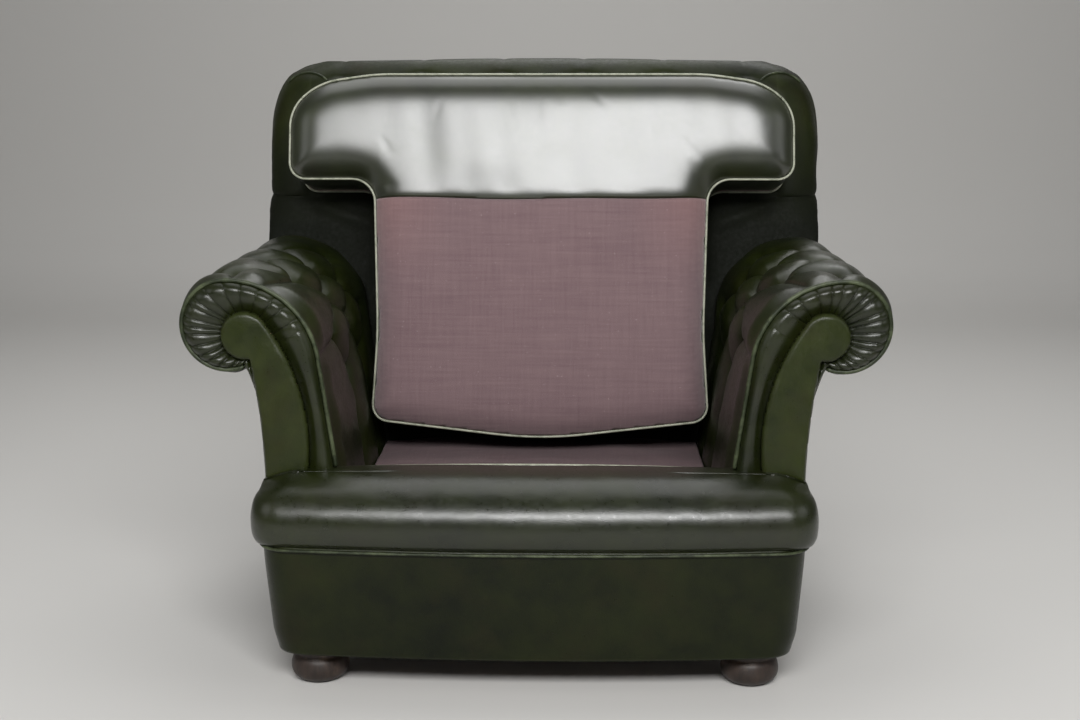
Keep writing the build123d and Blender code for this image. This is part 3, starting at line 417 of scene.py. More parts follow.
def outline_panel(name, outline, cell):
    """A grid trimmed to an outline, with each point's place and distance inwards."""
    low, high = outline.min(axis=0) - cell, outline.max(axis=0) + cell
    columns, rows = (ceil(size / cell) for size in high - low)
    piece, u, v = field_grid(name, columns, rows)
    px = low[0] + u * (high[0] - low[0])
    py = low[1] + v * (high[1] - low[1])
    gap, near_x, near_y = inside_gap(px, py, outline)
    snap = gap < SNAP_SHARE * cell
    px = np.where(snap, near_x, px)
    py = np.where(snap, near_y, py)
    lay(piece, px, py, np.zeros_like(px))
    mark(piece, "vertices", gap < -TRIM_SHARE * cell)
    pick_only(piece)
    bpy.ops.object.mode_set(mode="EDIT")
    bpy.ops.mesh.select_mode(type="VERT")
    bpy.ops.mesh.delete(type="VERT")
    bpy.ops.object.mode_set(mode="OBJECT")
    px, py, _ = points_of(piece).T.copy()
    return piece, px, py, np.maximum(inside_gap(px, py, outline)[0], 0)


def tube(name, path, radius, looped=False, sides=10):
    """A welt along a path; open ends close to a point."""
    path = np.asarray(path, float)
    if looped:
        path = np.vstack([path, path[:1]])
    last = len(path) - 1
    ahead = np.gradient(path, axis=0)
    if looped:
        ahead[0] = ahead[-1] = path[1] - path[-2]
    ahead /= np.linalg.norm(ahead, axis=1)[:, None]
    sides_at = [np.cross(ahead[0], OFF_AXIS)]
    for run in ahead:
        side = sides_at[-1] - run * np.dot(sides_at[-1], run)
        sides_at.append(side / np.linalg.norm(side))
    side = np.array(sides_at[1:])
    up = np.cross(ahead, side)
    twist = atan2(np.dot(side[-1], up[0]), np.dot(side[-1], side[0])) if looped else 0
    piece, u, v = field_grid(name, last, sides)
    place = np.rint(u * last).astype(int)
    turn = v * 2 * pi - twist * u
    size = np.full(len(u), radius)
    if not looped:
        size = np.where((place == 0) | (place == last), 0, size)
    round_it = side[place] * np.cos(turn)[:, None] + up[place] * np.sin(turn)[:, None]
    lay(piece, *(path[place] + round_it * size[:, None]).T)
    edit_all(piece, weld_doubles, outward_normals)
    return piece


# Shader groups and finishes
def new_group(name, inputs, *outputs):
    """An empty node group; an input's default tells its kind, and None stands for a place."""
    group = bpy.data.node_groups.new(name, "ShaderNodeTree")
    for label, value in inputs.items():
        kind = "Color"
        if value is None:
            kind = "Vector"
        elif isinstance(value, float):
            kind = "Float"
        socket = group.interface.new_socket(name=label, in_out="INPUT", socket_type=f"NodeSocket{kind}")
        if value is not None:
            socket.default_value = value
    for label in outputs:
        kind = "Color" if label == "Colour" else "Float"
        group.interface.new_socket(name=label, in_out="OUTPUT", socket_type=f"NodeSocket{kind}")
    return group, group.nodes.new("NodeGroupInput").outputs, group.nodes.new("NodeGroupOutput")


def set_input(tree, socket, value):
    """Link an output to a socket, or set a value or a colour on it."""
    if hasattr(value, "is_output"):
        tree.links.new(value, socket)
    elif isinstance(value, (int, float)):
        socket.default_value = value
    else:
        socket.default_value = (*value, 1)


def set_inputs(tree, node, **values):
    """Link or set a node's inputs by name, with an underscore for each space."""
    for key, value in values.items():
        set_input(tree, node.inputs[key.replace("_", " ")], value)
    return node


def ramp(tree, factor, *stops):
    """A colour ramp on a factor."""
    node = tree.nodes.new("ShaderNodeValToRGB")
    elements = node.color_ramp.elements
    while len(elements) < len(stops):
        elements.new(0.5)
    for element, (place, colour) in zip(elements, stops):
        element.position = place
        element.color = (*colour, 1) if len(colour) == 3 else colour
    tree.links.new(factor, node.inputs["Fac"])
    return node.outputs["Color"]


def blend_colour(tree, factor, first, second):
    """Mix two colours by a factor."""
    node = tree.nodes.new("ShaderNodeMix")
    node.data_type = "RGBA"
    for socket, value in ((node.inputs["Factor"], factor), (node.inputs[6], first), (node.inputs[7], second)):
        set_input(tree, socket, value)
    return node.outputs[2]


def maths(tree, operation, first, second=0.0, clamp=False):
    """One sum on two values."""
    node = tree.nodes.new("ShaderNodeMath")
    node.operation = operation
    node.use_clamp = clamp
    for socket, value in zip(node.inputs, (first, second)):
        set_input(tree, socket, value)
    return node.outputs[0]


def plus(tree, first, second, clamp=False):
    """The sum of two values."""
    return maths(tree, "ADD", first, second, clamp)


def minus(tree, first, second):
    """The difference of two values."""
    return maths(tree, "SUBTRACT", first, second)


def times(tree, first, second, clamp=False):
    """The product of two values."""
    return maths(tree, "MULTIPLY", first, second, clamp)


def steepen(tree, first, second, gain):
    """A difference times a gain, kept from 0 to 1."""
    return times(tree, minus(tree, first, second), gain, clamp=True)


def noise_node(tree, place, scale, detail=3.0, rough=0.5):
    """A noise texture at a scale on a place."""
    node = tree.nodes.new("ShaderNodeTexNoise")
    return set_inputs(tree, node, Vector=place, Scale=scale, Detail=detail, Roughness=rough)


def noise(tree, place, scale, detail=3.0, rough=0.55, stretch=None):
    """Noise at a scale on Object coordinates."""
    if stretch:
        mapping = tree.nodes.new("ShaderNodeMapping")
        mapping.inputs["Scale"].default_value = stretch
        tree.links.new(place, mapping.inputs["Vector"])
        place = mapping.outputs["Vector"]
    return noise_node(tree, place, scale, detail, rough).outputs["Fac"]


def hide_grain_group():
    """Pebbled grain and fine creases of leather, as a height from 0 to 1."""
    group, start, stop = new_group("hide_grain", {"Place": None, "Pebble Scale": 620.0}, "Height", "Creases")
    place = start["Place"]
    cells = group.nodes.new("ShaderNodeTexVoronoi")
    cells.feature = "SMOOTH_F1"
    set_inputs(group, cells, Vector=place, Scale=start["Pebble Scale"], Smoothness=0.35)
    wobble = noise_node(group, place, 60.0)
    shifted = group.nodes.new("ShaderNodeMix")
    shifted.data_type = "VECTOR"
    shifted.inputs["Factor"].default_value = 0.012
    group.links.new(place, shifted.inputs[4])
    group.links.new(wobble.outputs["Color"], shifted.inputs[5])
    lines = group.nodes.new("ShaderNodeTexVoronoi")
    lines.feature = "DISTANCE_TO_EDGE"
    set_inputs(group, lines, Vector=shifted.outputs[1], Scale=95.0)
    crease = times(group, lines.outputs["Distance"], 9.0, clamp=True)
    presence = noise(group, place, 14.0)
    mask = steepen(group, presence, 0.42, 5.0)
    drop = times(group, minus(group, 1.0, crease), mask)
    pebble = times(group, cells.outputs["Distance"], 0.55)
    fine = times(group, noise(group, place, 240.0, 4.0), 0.45)
    height = plus(group, pebble, fine)
    height = minus(group, height, times(group, drop, 0.12))
    set_inputs(group, stop, Height=height, Creases=drop)
    return group


def antique_group():
    """Antiqued hide: deep and rubbed tones with brown showing through."""
    inputs = {
        "Place": None,
        "Deep": (0.01, 0.015, 0.006, 1),
        "Rubbed": (0.04, 0.05, 0.02, 1),
        "Brown": (0.03, 0.02, 0.01, 1),
        "Creases": 0.0,
        "Wear": 0.5,
    }
    group, start, stop = new_group("antique_hide", inputs, "Colour", "Roughness")
    place = start["Place"]
    broad = noise(group, place, 4.2, 5.0, 0.6)
    middle = noise(group, place, 23.0, 5.0, 0.62)
    specks = noise(group, place, 160.0, 3.0, 0.6)
    tone = plus(group, times(group, broad, 0.6), times(group, middle, 0.4))
    tone = steepen(group, tone, 0.36, 3.2)
    base = blend_colour(group, tone, start["Deep"], start["Rubbed"])
    brown_share = steepen(group, noise(group, place, 9.0, 6.0, 0.65), 0.5, 4.0)
    brown_share = times(group, brown_share, 0.55)
    base = blend_colour(group, brown_share, base, start["Brown"])
    base = blend_colour(group, times(group, start["Creases"], 0.15), base, start["Deep"])
    pointiness = group.nodes.new("ShaderNodeNewGeometry").outputs["Pointiness"]
    edge = steepen(group, pointiness, 0.515, 14.0)
    worn = times(group, times(group, edge, specks), start["Wear"])
    base = blend_colour(group, worn, base, (0.050, 0.058, 0.026))
    hollow = steepen(group, 0.488, pointiness, 16.0)
    base = blend_colour(group, times(group, hollow, 0.7), base, (0.0008, 0.0012, 0.0006))
    scuff = times(group, minus(group, specks, 0.4), 0.35)
    rough = plus(group, times(group, middle, 0.16), scuff)
    rough = plus(group, rough, 0.24, clamp=True)
    set_inputs(group, stop, Colour=base, Roughness=rough)
    return group


def weave_group():
    """Plain weave of warp and weft, with slubs, on Object coordinates."""
    inputs = {"Place": None, "Warp": (0.3, 0.2, 0.2, 1), "Weft": (0.2, 0.1, 0.12, 1), "Threads": 1250.0}
    group, start, stop = new_group("plain_weave", inputs, "Colour", "Height")
    place = start["Place"]
    spot = split_place(group, place)
    down = plus(group, spot["Y"], spot["Z"])
    across = times(group, spot["X"], start["Threads"])
    along = times(group, down, start["Threads"])
    warp = maths(group, "ABSOLUTE", maths(group, "SINE", times(group, across, pi)))
    weft = maths(group, "ABSOLUTE", maths(group, "SINE", times(group, along, pi)))
    parity = plus(group, maths(group, "FLOOR", across), maths(group, "FLOOR", along))
    over = maths(group, "PINGPONG", parity, 1.0)
    first = times(group, warp, over)
    second = times(group, weft, minus(group, 1.0, over))
    height = plus(group, first, second)
    slub = noise(group, place, 60.0, 5.0, 0.7, stretch=(0.12, 1.0, 3.2))
    rib = noise(group, place, 75.0, 4.0, 0.7, stretch=(3.0, 0.15, 0.15))
    broad = noise(group, place, 5.0)
    mix = plus(group, times(group, slub, 0.75), times(group, rib, 0.5))
    mix = plus(group, mix, times(group, broad, 0.35))
    mix = steepen(group, mix, 0.5, 1.6)
    colour = blend_colour(group, mix, start["Weft"], start["Warp"])
    shadow = times(group, minus(group, 1.0, height), 0.45)
    colour = blend_colour(group, shadow, colour, (0.05, 0.03, 0.035))
    height = plus(group, height, times(group, slub, 0.8))
    set_inputs(group, stop, Colour=colour, Height=height)
    return group


def base_material(name):
    """A material with its Principled shader and Object coordinates."""
    material = bpy.data.materials.new(name)
    material.use_nodes = True
    tree = material.node_tree
    shader = tree.nodes["Principled BSDF"]
    place = tree.nodes.new("ShaderNodeTexCoord").outputs["Object"]
    return material, tree, shader, place


def place_group(tree, group, **values):
    """A group node with its inputs set or linked."""
    node = tree.nodes.new("ShaderNodeGroup")
    node.node_tree = MATERIAL_GROUPS[group]
    return set_inputs(tree, node, **values)


def split_place(tree, place):
    """The x, y and z outputs of a place."""
    split = tree.nodes.new("ShaderNodeSeparateXYZ")
    tree.links.new(place, split.inputs[0])
    return split.outputs


def bump(tree, shader, height, strength, depth):
    """Raise a shader's normal by a height."""
    node = tree.nodes.new("ShaderNodeBump")
    set_inputs(tree, node, Strength=strength, Distance=depth, Height=height)
    tree.links.new(node.outputs["Normal"], shader.inputs["Normal"])


def leather(name, looks, tone=1.0, wear=0.5, gloss=0.0, pebble=620.0, grain=None, sheen=0.08, shine=0.32,
            even=0.0, brown=1.0, shade=None):
    """Antiqued leather of one part of the chair.

    tone and brown brighten it, gloss and even lower and level its roughness, and shade is a pair of heights
    for painted shade, darkening it from one height down to another.
    """
    material, tree, shader, place = base_material(name)
    hide = place_group(tree, "grain", Place=place, Pebble_Scale=pebble)
    tint = place_group(
        tree, "antique", Place=place, Creases=hide.outputs["Creases"], Wear=wear,
        Deep=[c * tone for c in looks.leather_dark], Rubbed=[c * tone for c in looks.leather_light],
        Brown=[c * tone * brown for c in looks.leather_brown])
    colour = tint.outputs["Colour"]
    rough = times(tree, minus(tree, tint.outputs["Roughness"], gloss), 1 - even)
    rough = plus(tree, rough, EVEN_ROUGHNESS * even, clamp=True)
    # painted shade: below these heights the colour darkens and the roughness rises, standing in for the shade
    # that the cushion's ears cast on the back behind them
    if shade:
        low, high = shade
        lit = steepen(tree, split_place(tree, place)["Z"], low, 1 / (high - low))
        colour = blend_colour(tree, lit, [0.45 * c for c in looks.leather_dark], colour)
        rough = plus(tree, rough, times(tree, minus(tree, 1.0, lit), 0.28), clamp=True)
    set_inputs(tree, shader, Base_Color=colour, Roughness=rough, Specular_IOR_Level=shine,
               Coat_Weight=sheen, Coat_Roughness=0.28)
    bump(tree, shader, hide.outputs["Height"], looks.grain if grain is None else grain, 0.0006)
    return material


def welt_leather(name, patches, pale_from, dark, pale, rough, shine=0.5):
    """Leather of a welt, pale in patches: rubbed wear, and on the pale welts also a painted highlight."""
    material, tree, shader, place = base_material(name)
    hide = place_group(tree, "grain", Place=place, Pebble_Scale=900.0)
    rubbed = steepen(tree, noise(tree, place, patches, 4.0, 0.7), pale_from, 4.0)
    colour = blend_colour(tree, rubbed, dark, pale)
    set_inputs(tree, shader, Base_Color=colour, Roughness=rough, Specular_IOR_Level=shine)
    bump(tree, shader, hide.outputs["Height"], 0.3, 0.0005)
    return material


def mauve_cloth(name, looks, tone, sheen):
    """Plain-woven mauve cloth, faded at the cushion's upper corners."""
    material, tree, shader, place = base_material(name)
    weave = place_group(
        tree, "weave", Place=place,
        Warp=[c * tone for c in looks.cloth_warp], Weft=[c * tone for c in looks.cloth_weft])
    spot = split_place(tree, place)
    high = steepen(tree, spot["Z"], 0.58, 7.0)
    wide = steepen(tree, maths(tree, "ABSOLUTE", spot["X"]), 0.16, 8.0)
    faded = times(tree, times(tree, high, wide), 0.20)
    colour = blend_colour(tree, faded, weave.outputs["Colour"], (0.40, 0.185, 0.160))
    lint = steepen(tree, noise(tree, place, 420.0, 2.0, 0.5), 0.735, 30.0)
    colour = blend_colour(tree, lint, colour, (0.55, 0.45, 0.43))
    set_inputs(tree, shader, Base_Color=colour, Roughness=0.9, Sheen_Weight=sheen, Sheen_Roughness=0.4,
               Specular_IOR_Level=0.2)
    bump(tree, shader, weave.outputs["Height"], 0.5, 0.0004)
    return material


def black_lining():
    """Black woven cloth under the base."""
    material, tree, shader, place = base_material("black_lining")
    weave = place_group(
        tree, "weave", Place=place, Warp=(0.03, 0.03, 0.03), Weft=(0.012, 0.012, 0.013), Threads=900.0)
    set_inputs(tree, shader, Base_Color=weave.outputs["Colour"], Roughness=0.95)
    bump(tree, shader, weave.outputs["Height"], 0.5, 0.0005)
    return material


def stained_foot(looks):
    """Dark stain on turned wood, scuffed in patches."""
    material, tree, shader, place = base_material("stained_foot")
    streaks = noise(tree, place, 70.0, 6.0, 0.65, stretch=(1.0, 1.0, 0.22))
    dust = noise(tree, place, 34.0, 6.0, 0.7)
    stain = tuple(looks.foot_colour)
    colour = ramp(tree, streaks, (0.3, stain), (0.62, tuple(3.2 * c for c in stain)))
    scuffed = times(tree, steepen(tree, dust, 0.56, 6.0), 0.6)
    colour = blend_colour(tree, scuffed, colour, (0.15, 0.105, 0.07))
    set_inputs(tree, shader, Base_Color=colour, Roughness=plus(tree, times(tree, dust, 0.4), 0.3))
    bump(tree, shader, streaks, 0.35, 0.001)
    return material


def sawn_timber():
    """Pale sawn timber of the frame."""
    material, tree, shader, place = base_material("sawn_timber")
    rings = tree.nodes.new("ShaderNodeTexWave")
    set_inputs(tree, rings, Vector=place, Scale=14.0, Distortion=5.0, Detail=3.0, Detail_Scale=1.5)
    fibres = noise(tree, place, 220.0, 5.0, 0.7, stretch=(0.1, 1.0, 1.0))
    colour = ramp(tree, rings.outputs["Fac"], (0.2, (0.40, 0.27, 0.15)), (0.8, (0.56, 0.41, 0.25)))
    colour = blend_colour(tree, times(tree, fibres, 0.5), colour, (0.27, 0.17, 0.09))
    set_inputs(tree, shader, Base_Color=colour, Roughness=0.75)
    bump(tree, shader, fibres, 0.4, 0.0008)
    return material


def dull_steel():
    """Bare steel of springs, clips and bolts."""
    material, tree, shader, place = base_material("dull_steel")
    film = noise(tree, place, 45.0, 5.0, 0.6)
    colour = ramp(tree, film, (0.3, (0.23, 0.22, 0.21)), (0.7, (0.42, 0.41, 0.40)))
    rough = plus(tree, times(tree, film, 0.4), 0.2)
    set_inputs(tree, shader, Base_Color=colour, Roughness=rough, Metallic=1.0)
    return material


def make_finishes():
    """Every finish of the chair."""
    looks = bpy.context.scene.chair_looks
    MATERIAL_GROUPS.update(grain=hide_grain_group(), antique=antique_group(), weave=weave_group())
    hides = {
        "padding": dict(wear=0.55),
        "gathers": dict(tone=0.9, wear=0.9, gloss=0.02, pebble=800.0, sheen=0.15, shine=0.45),
        "facings": dict(tone=1.5, wear=0.3, sheen=0.03, shine=0.26),
        "lip": dict(tone=0.80, wear=0.3, gloss=0.06, grain=0.2, sheen=0.07, shine=0.62, even=0.3),
        "base": dict(tone=0.70, wear=0.4, sheen=0.0, shine=0.22, brown=1.7),
        "cushion": dict(tone=1.05, wear=0.3, gloss=-0.03, grain=0.05, sheen=0.45, shine=1.0, even=0.8),
        # the back's leather gets painted shade, darkest at 0.66 m and fading out by 0.84 m
        "back": dict(wear=0.4, gloss=-0.12, sheen=0.0, shine=0.18, shade=(0.66, 0.84)),
    }
    for part, values in hides.items():
        FINISHES[f"{part} leather"] = leather(f"leather_{part}", looks, **values)
    # pale welts: rubbed in patches, and their pale colour also paints the highlight that runs along each welt
    FINISHES["welt"] = welt_leather("rubbed_and_highlit_welt", 55.0, 0.28, (0.13, 0.15, 0.10), looks.welt_wear_and_highlight, 0.42)
    FINISHES["dark welt"] = welt_leather(
        "dark_welt", 40.0, 0.42, (0.014, 0.020, 0.007), (0.070, 0.086, 0.042), 0.46, shine=0.35)
    FINISHES["cloth"] = mauve_cloth("mauve_cloth", looks, 1.0, 0.35)
    FINISHES["deck cloth"] = mauve_cloth("mauve_deck_cloth", looks, 0.72, 0.04)
    FINISHES["lining"] = black_lining()
    FINISHES["foot"] = stained_foot(looks)
    FINISHES["timber"] = sawn_timber()
    FINISHES["steel"] = dull_steel()


# The chair's own curves
def side_name(side):
    """The viewer's side that a sign of x stands for."""
    return "left" if side < 0 else "right"


def side_x(z):
    """Half width of the base at a height."""
    return BASE_HALF_WIDTH + BASE_SPREAD * (z - FOOT_Z) / (BELT_Z - FOOT_Z)


def back_front_y(z):
    """Front face of the back at a height."""
    return ROLL_START_Y + (z - ROLL_START_Z) * tan(BACK_LEAN)


def rear_plane_y(z):
    """Rear face of the chair at a height."""
    return REAR_FOOT_Y + (z - FOOT_Z) * tan(REAR_RAKE)


def arm_place(run, out=0.0):
    """Place in the arm's section for a run from the roll's top, raised by some height."""
    run = np.asarray(run, float)
    shoulder_r = SHOULDER_R + SWELL
    roll_r = SCROLL_R + SWELL
    shoulder_run = shoulder_r * (pi / 2 - LEAN)
    turn = np.where(run < 0, run / roll_r, np.minimum(run, shoulder_run) / shoulder_r)
    radius = np.where(run < 0, roll_r, shoulder_r) + out
    centre = np.where(run < 0, SCROLL_Z, SHOULDER_Z)
    drop = np.maximum(run - shoulder_run, 0)
    x = SCROLL_X - radius * np.sin(turn) - drop * sin(LEAN)
    z = centre + radius * np.cos(turn) - drop * cos(LEAN)
    return x, z


def arm_line(inset, foot_z=BELT_Z, step=0.002):
    """Front view of an arm: foot, neck, roll, shoulder and inner wall down to the foot."""
    roll = SCROLL_R - inset
    shoulder = SHOULDER_R - inset
    neck = on_circle(SCROLL_X, SCROLL_Z, roll, NECK_TURN)
    belt = np.array((side_x(BELT_Z) - inset, BELT_Z))
    points = [np.array((side_x(foot_z) - inset, foot_z))]
    points += arc_through(belt, (ARM_HOLLOW[0] - inset, ARM_HOLLOW[1]), neck, 24)[1:]
    points += [on_circle(SCROLL_X, SCROLL_Z, roll, turn)
               for turn in np.linspace(NECK_TURN - 2 * pi, pi / 2, 90)[1:]]
    points += [on_circle(SCROLL_X, SHOULDER_Z, shoulder, turn)
               for turn in np.linspace(pi / 2, pi - LEAN, 60)[1:]]
    top = points[-1]
    points.append(np.array((top[0] - (top[1] - foot_z) * tan(LEAN), foot_z)))
    return evenly(points, step)


def neck_index(line):
    """Where a line round an arm passes the roll's outer neck."""
    neck_z = SCROLL_Z + SCROLL_R * sin(NECK_TURN)
    inner_side = line[:, 0] < 0.44
    return int(np.argmin(np.abs(line[:, 1] - neck_z) + inner_side * 9))


def on_circle(x, z, radius, turn):
    """Point of a circle at a turn from its +x side."""
    return np.array((x + radius * cos(turn), z + radius * sin(turn)))


def arc_through(start, middle, stop, parts):
    """Points on the arc through three points."""
    (ax, ay), (bx, by), (cx, cy) = start, middle, stop
    d = 2 * (ax * (by - cy) + bx * (cy - ay) + cx * (ay - by))
    a, b, c = (x**2 + y**2 for x, y in (start, middle, stop))
    ux = (a * (by - cy) + b * (cy - ay) + c * (ay - by)) / d
    uy = (a * (cx - bx) + b * (ax - cx) + c * (bx - ax)) / d
    radius = sqrt((ax - ux) ** 2 + (ay - uy) ** 2)
    first, mid, last = (atan2(y - uy, x - ux) for x, y in (start, middle, stop))
    sweep = (last - first) % (2 * pi)
    if not 0 < (mid - first) % (2 * pi) < sweep:
        sweep -= 2 * pi
    return [on_circle(ux, uy, radius, first + sweep * k / parts) for k in range(parts + 1)]


# Arms
BUTTON_R = 0.0098
BUTTON_RISE = 0.0135
BUTTON_DOME = 0.62
BUTTON_UNDERSIDE = 0.9
ARM_RUNS = (-0.011, 0.088, 0.142, 0.203, 0.285)
ARM_FOOT_RUN = 0.4843
FIRST_TUFT_Y = -0.161
TUFT_PITCH = 0.150


def arm_tuft_rows():
    """Button places on one arm, row by row, as (run, y)."""
    rows = []
    for row, run in enumerate(ARM_RUNS):
        shift = -TUFT_PITCH / 2 if row % 2 == 0 else 0
        first = FIRST_TUFT_Y + shift if row == 0 else FIRST_TUFT_Y
        stop = back_front_y(float(arm_place(run)[1])) - TUFT_PITCH / 3
        places = [FIRST_TUFT_Y + shift + k * TUFT_PITCH for k in range(4)]
        rows.append([(run, y) for y in places if first <= y < stop])
    return rows


def arm_pleats():
    """Pleats of the arm's padding, each with its depth."""
    rows = arm_tuft_rows()
    pleats = []
    for row, following in zip(rows, rows[1:]):
        for s0, y0 in row:
            for s1, y1 in following:
                if abs(y0 - y1) < TUFT_PITCH * 0.75:
                    pleats.append((s0, y0, s1, y1, 1.0))
    for s0, y0 in rows[0]:
        pleats.append((s0, y0, -0.262, y0 + 0.004, 0.9))
    for s0, y0 in rows[-1]:
        pleats.append((s0, y0, 0.50, y0, 0.8))
    pleats.append((*rows[0][0], 0.012, -0.345, 0.9))
    pleats.append((*rows[1][0], 0.055, -0.335, 0.75))
    pleats.append((*rows[3][0], 0.212, -0.345, 0.75))
    return pleats


def pad_arm(side, sizes):
    """Deep-buttoned padding over one arm's wall and roll."""
    name = side_name(side)
    columns, rows = 300, 220
    piece, u, v = field_grid(f"{name}_arm_padding", columns, rows)
    low = -(SCROLL_R + SWELL) * (5 * pi / 2 - NECK_TURN)
    share_u, share_v = np.meshgrid(np.linspace(0, 1, columns + 1), np.linspace(0, 1, rows + 1), indexing="ij")
    run = low + share_u * (ARM_FOOT_RUN - low)
    _, height = arm_place(run)
    front = ARM_FRONT_Y + 0.0005
    rear = back_front_y(height) + 0.012
    y = front + share_v * (rear - front)
    buttons = [place for row in arm_tuft_rows() for place in row]
    relief = buttoned_relief(run, y, arm_pleats(), buttons, sizes, rounds=9)
    relief += 0.0014 * waves(run, y, 5 + side, 0.10)
    wall = ease(run, 0.19, 0.27)
    level = -sizes.pillow + 0.0065 - 0.003 * wall
    # the padding settles onto the wood at its front, its rear and its lower edge
    settle = ease(y - front, 0.0, 0.042)
    out = (level + relief) * settle - SWELL * (1 - settle)
    back_settle = ease(y, rear - 0.035, rear)
    out = out * (1 - back_settle) - 0.004 * back_settle
    out -= 0.006 * ease(run, low + 0.03, low)
    x, z = arm_place(run, out)
    pick = (np.rint(u * columns).astype(int), np.rint(v * rows).astype(int))
    lay(piece, side * x[pick], y[pick], z[pick])
    return finish_skin(piece, (0, 0, 1), PAD_SKIN, "padding leather", [f"{name}_arm_pad"])


def button_piece(name, places, nodes):
    """Domed leather buttons at places, each with its outward direction."""
    copies = []
    for spot, direction in places:
        clear_selection()
        bpy.ops.mesh.primitive_uv_sphere_add(segments=20, ring_count=12, radius=1)
        button = bpy.context.active_object
        dome = points_of(button)
        dome[:, 2] *= np.where(dome[:, 2] > 0, BUTTON_DOME, BUTTON_UNDERSIDE)
        turn = np.array(Vector(direction).normalized().to_track_quat("Z", "Y").to_matrix())
        lay(button, *(dome * BUTTON_R @ turn.T + np.array(spot)).T)
        copies.append(button)
    return finish_piece(join_pieces(copies, name), "padding leather", nodes)


def arm_buttons(side, sizes):
    """Leather buttons of one arm."""
    name = side_name(side)
    out = BUTTON_RISE - sizes.pillow - sizes.pleat - sizes.dimple
    places = []
    for run, y in (place for row in arm_tuft_rows() for place in row):
        x, z = arm_place(run, out)
        x_out, z_out = arm_place(run, out + 0.01)
        places.append(((side * float(x), y, float(z)), (side * float(x_out - x), 0, float(z_out - z))))
    return button_piece(f"{name}_arm_button_row", places, [f"{name}_arm_buttons"])


FACING_FOOT_Z = 0.311
FACING_STAND = 0.0115
FACING_EDGE = 0.007
FACING_OUTER_TURN = radians(262) - 2 * pi
FACING_INNER_TURN = radians(150)
GATHER_FIRST_TURN = radians(-84)
GATHER_LAP = 0.005


def facing_line(grow=0.0):
    """Outline of an arm's facing: outer foot, disc, inner foot."""
    radius = DISC_R + grow
    disc = [on_circle(*DISC, radius, turn) for turn in np.linspace(FACING_OUTER_TURN, FACING_INNER_TURN, 60)]
    outer_foot = (side_x(BELT_Z) + grow * 0.2, FACING_FOOT_Z)
    outer = arc_through(outer_foot, (0.431 + grow, 0.448), disc[0], 24)
    inner = arc_through(disc[-1], (0.376 - grow, 0.500), (0.3563 - grow, FACING_FOOT_Z), 36)
    return outer, disc, inner


def face_arm(side):
    """Smooth comma-shaped facing of one arm's front."""
    name = side_name(side)
    outer, disc, inner = facing_line()
    outline = evenly(np.vstack([outer, disc[1:], inner[1:]]), 0.003, looped=True)
    piece, x, z, gap = outline_panel(f"{name}_facing", outline, 0.0035)
    edge = np.sqrt(np.maximum(1 - (1 - np.minimum(gap / FACING_EDGE, 1)) ** 2, 0))
    proud = 0.008 * edge + 0.003 * rise_over(gap, 0.018) + 0.0007 * waves(x, z, 31 + side, 0.05)
    lay(piece, side * x, ARM_FRONT_Y - FACING_STAND - proud, z)
    return finish_skin(piece, (0, -1, 0), PAD_SKIN, "facings leather", [f"{name}_arm_facing"])


def gather_marks(outline, travel):
    """Runs along an arm's outline of its neck, its first gather and the facing's inner join."""
    total = travel[-1]
    turn = np.arctan2(outline[:, 1] - DISC[1], outline[:, 0] - DISC[0])

    def nearest(gap, elsewhere):
        return travel[np.argmin(np.abs(gap) + elsewhere * 9)]

    start = nearest(turn - GATHER_FIRST_TURN, travel > total / 2)
    join = nearest(turn - FACING_INNER_TURN, travel < total / 3)
    neck = nearest(outline[:, 1] - (SCROLL_Z + SCROLL_R * sin(NECK_TURN)), travel > total / 2)
    return min(neck, start), start, join


def facing_side(along, total, turn, neck_at, join_at):
    """Inner ends of the gathers, under the facing's edge, for runs along the arm's outline."""
    outer, _, inner = facing_line(-GATHER_LAP)
    bend = turn + (FACING_OUTER_TURN - radians(-86)) * (1 - ease(along - neck_at, 0.0, 0.07))
    ends = []
    for axis, wave in ((0, np.cos), (1, np.sin)):
        outer_side = on_path(evenly(outer, 0.002)[:, axis], along / neck_at)
        disc_side = DISC[axis] + (DISC_R - GATHER_LAP) * wave(bend)
        inner_side = on_path(evenly(inner, 0.002)[:, axis], (along - join_at) / (total - join_at))
        ends.append(np.where(along <= neck_at, outer_side, np.where(along <= join_at, disc_side, inner_side)))
    return ends


def gather_stops(start_at, join_at, rng):
    """Runs at which one gather ends and the next begins."""
    stops = [start_at - 0.012]
    while stops[-1] < join_at + 0.050:
        share = (stops[-1] - start_at) / (join_at - start_at)
        pitch = 0.0150 + 0.0120 * float(ease(share, 0.30, 0.70))
        stops.append(stops[-1] + pitch * rng.uniform(0.60, 1.40))
    return np.array(stops)


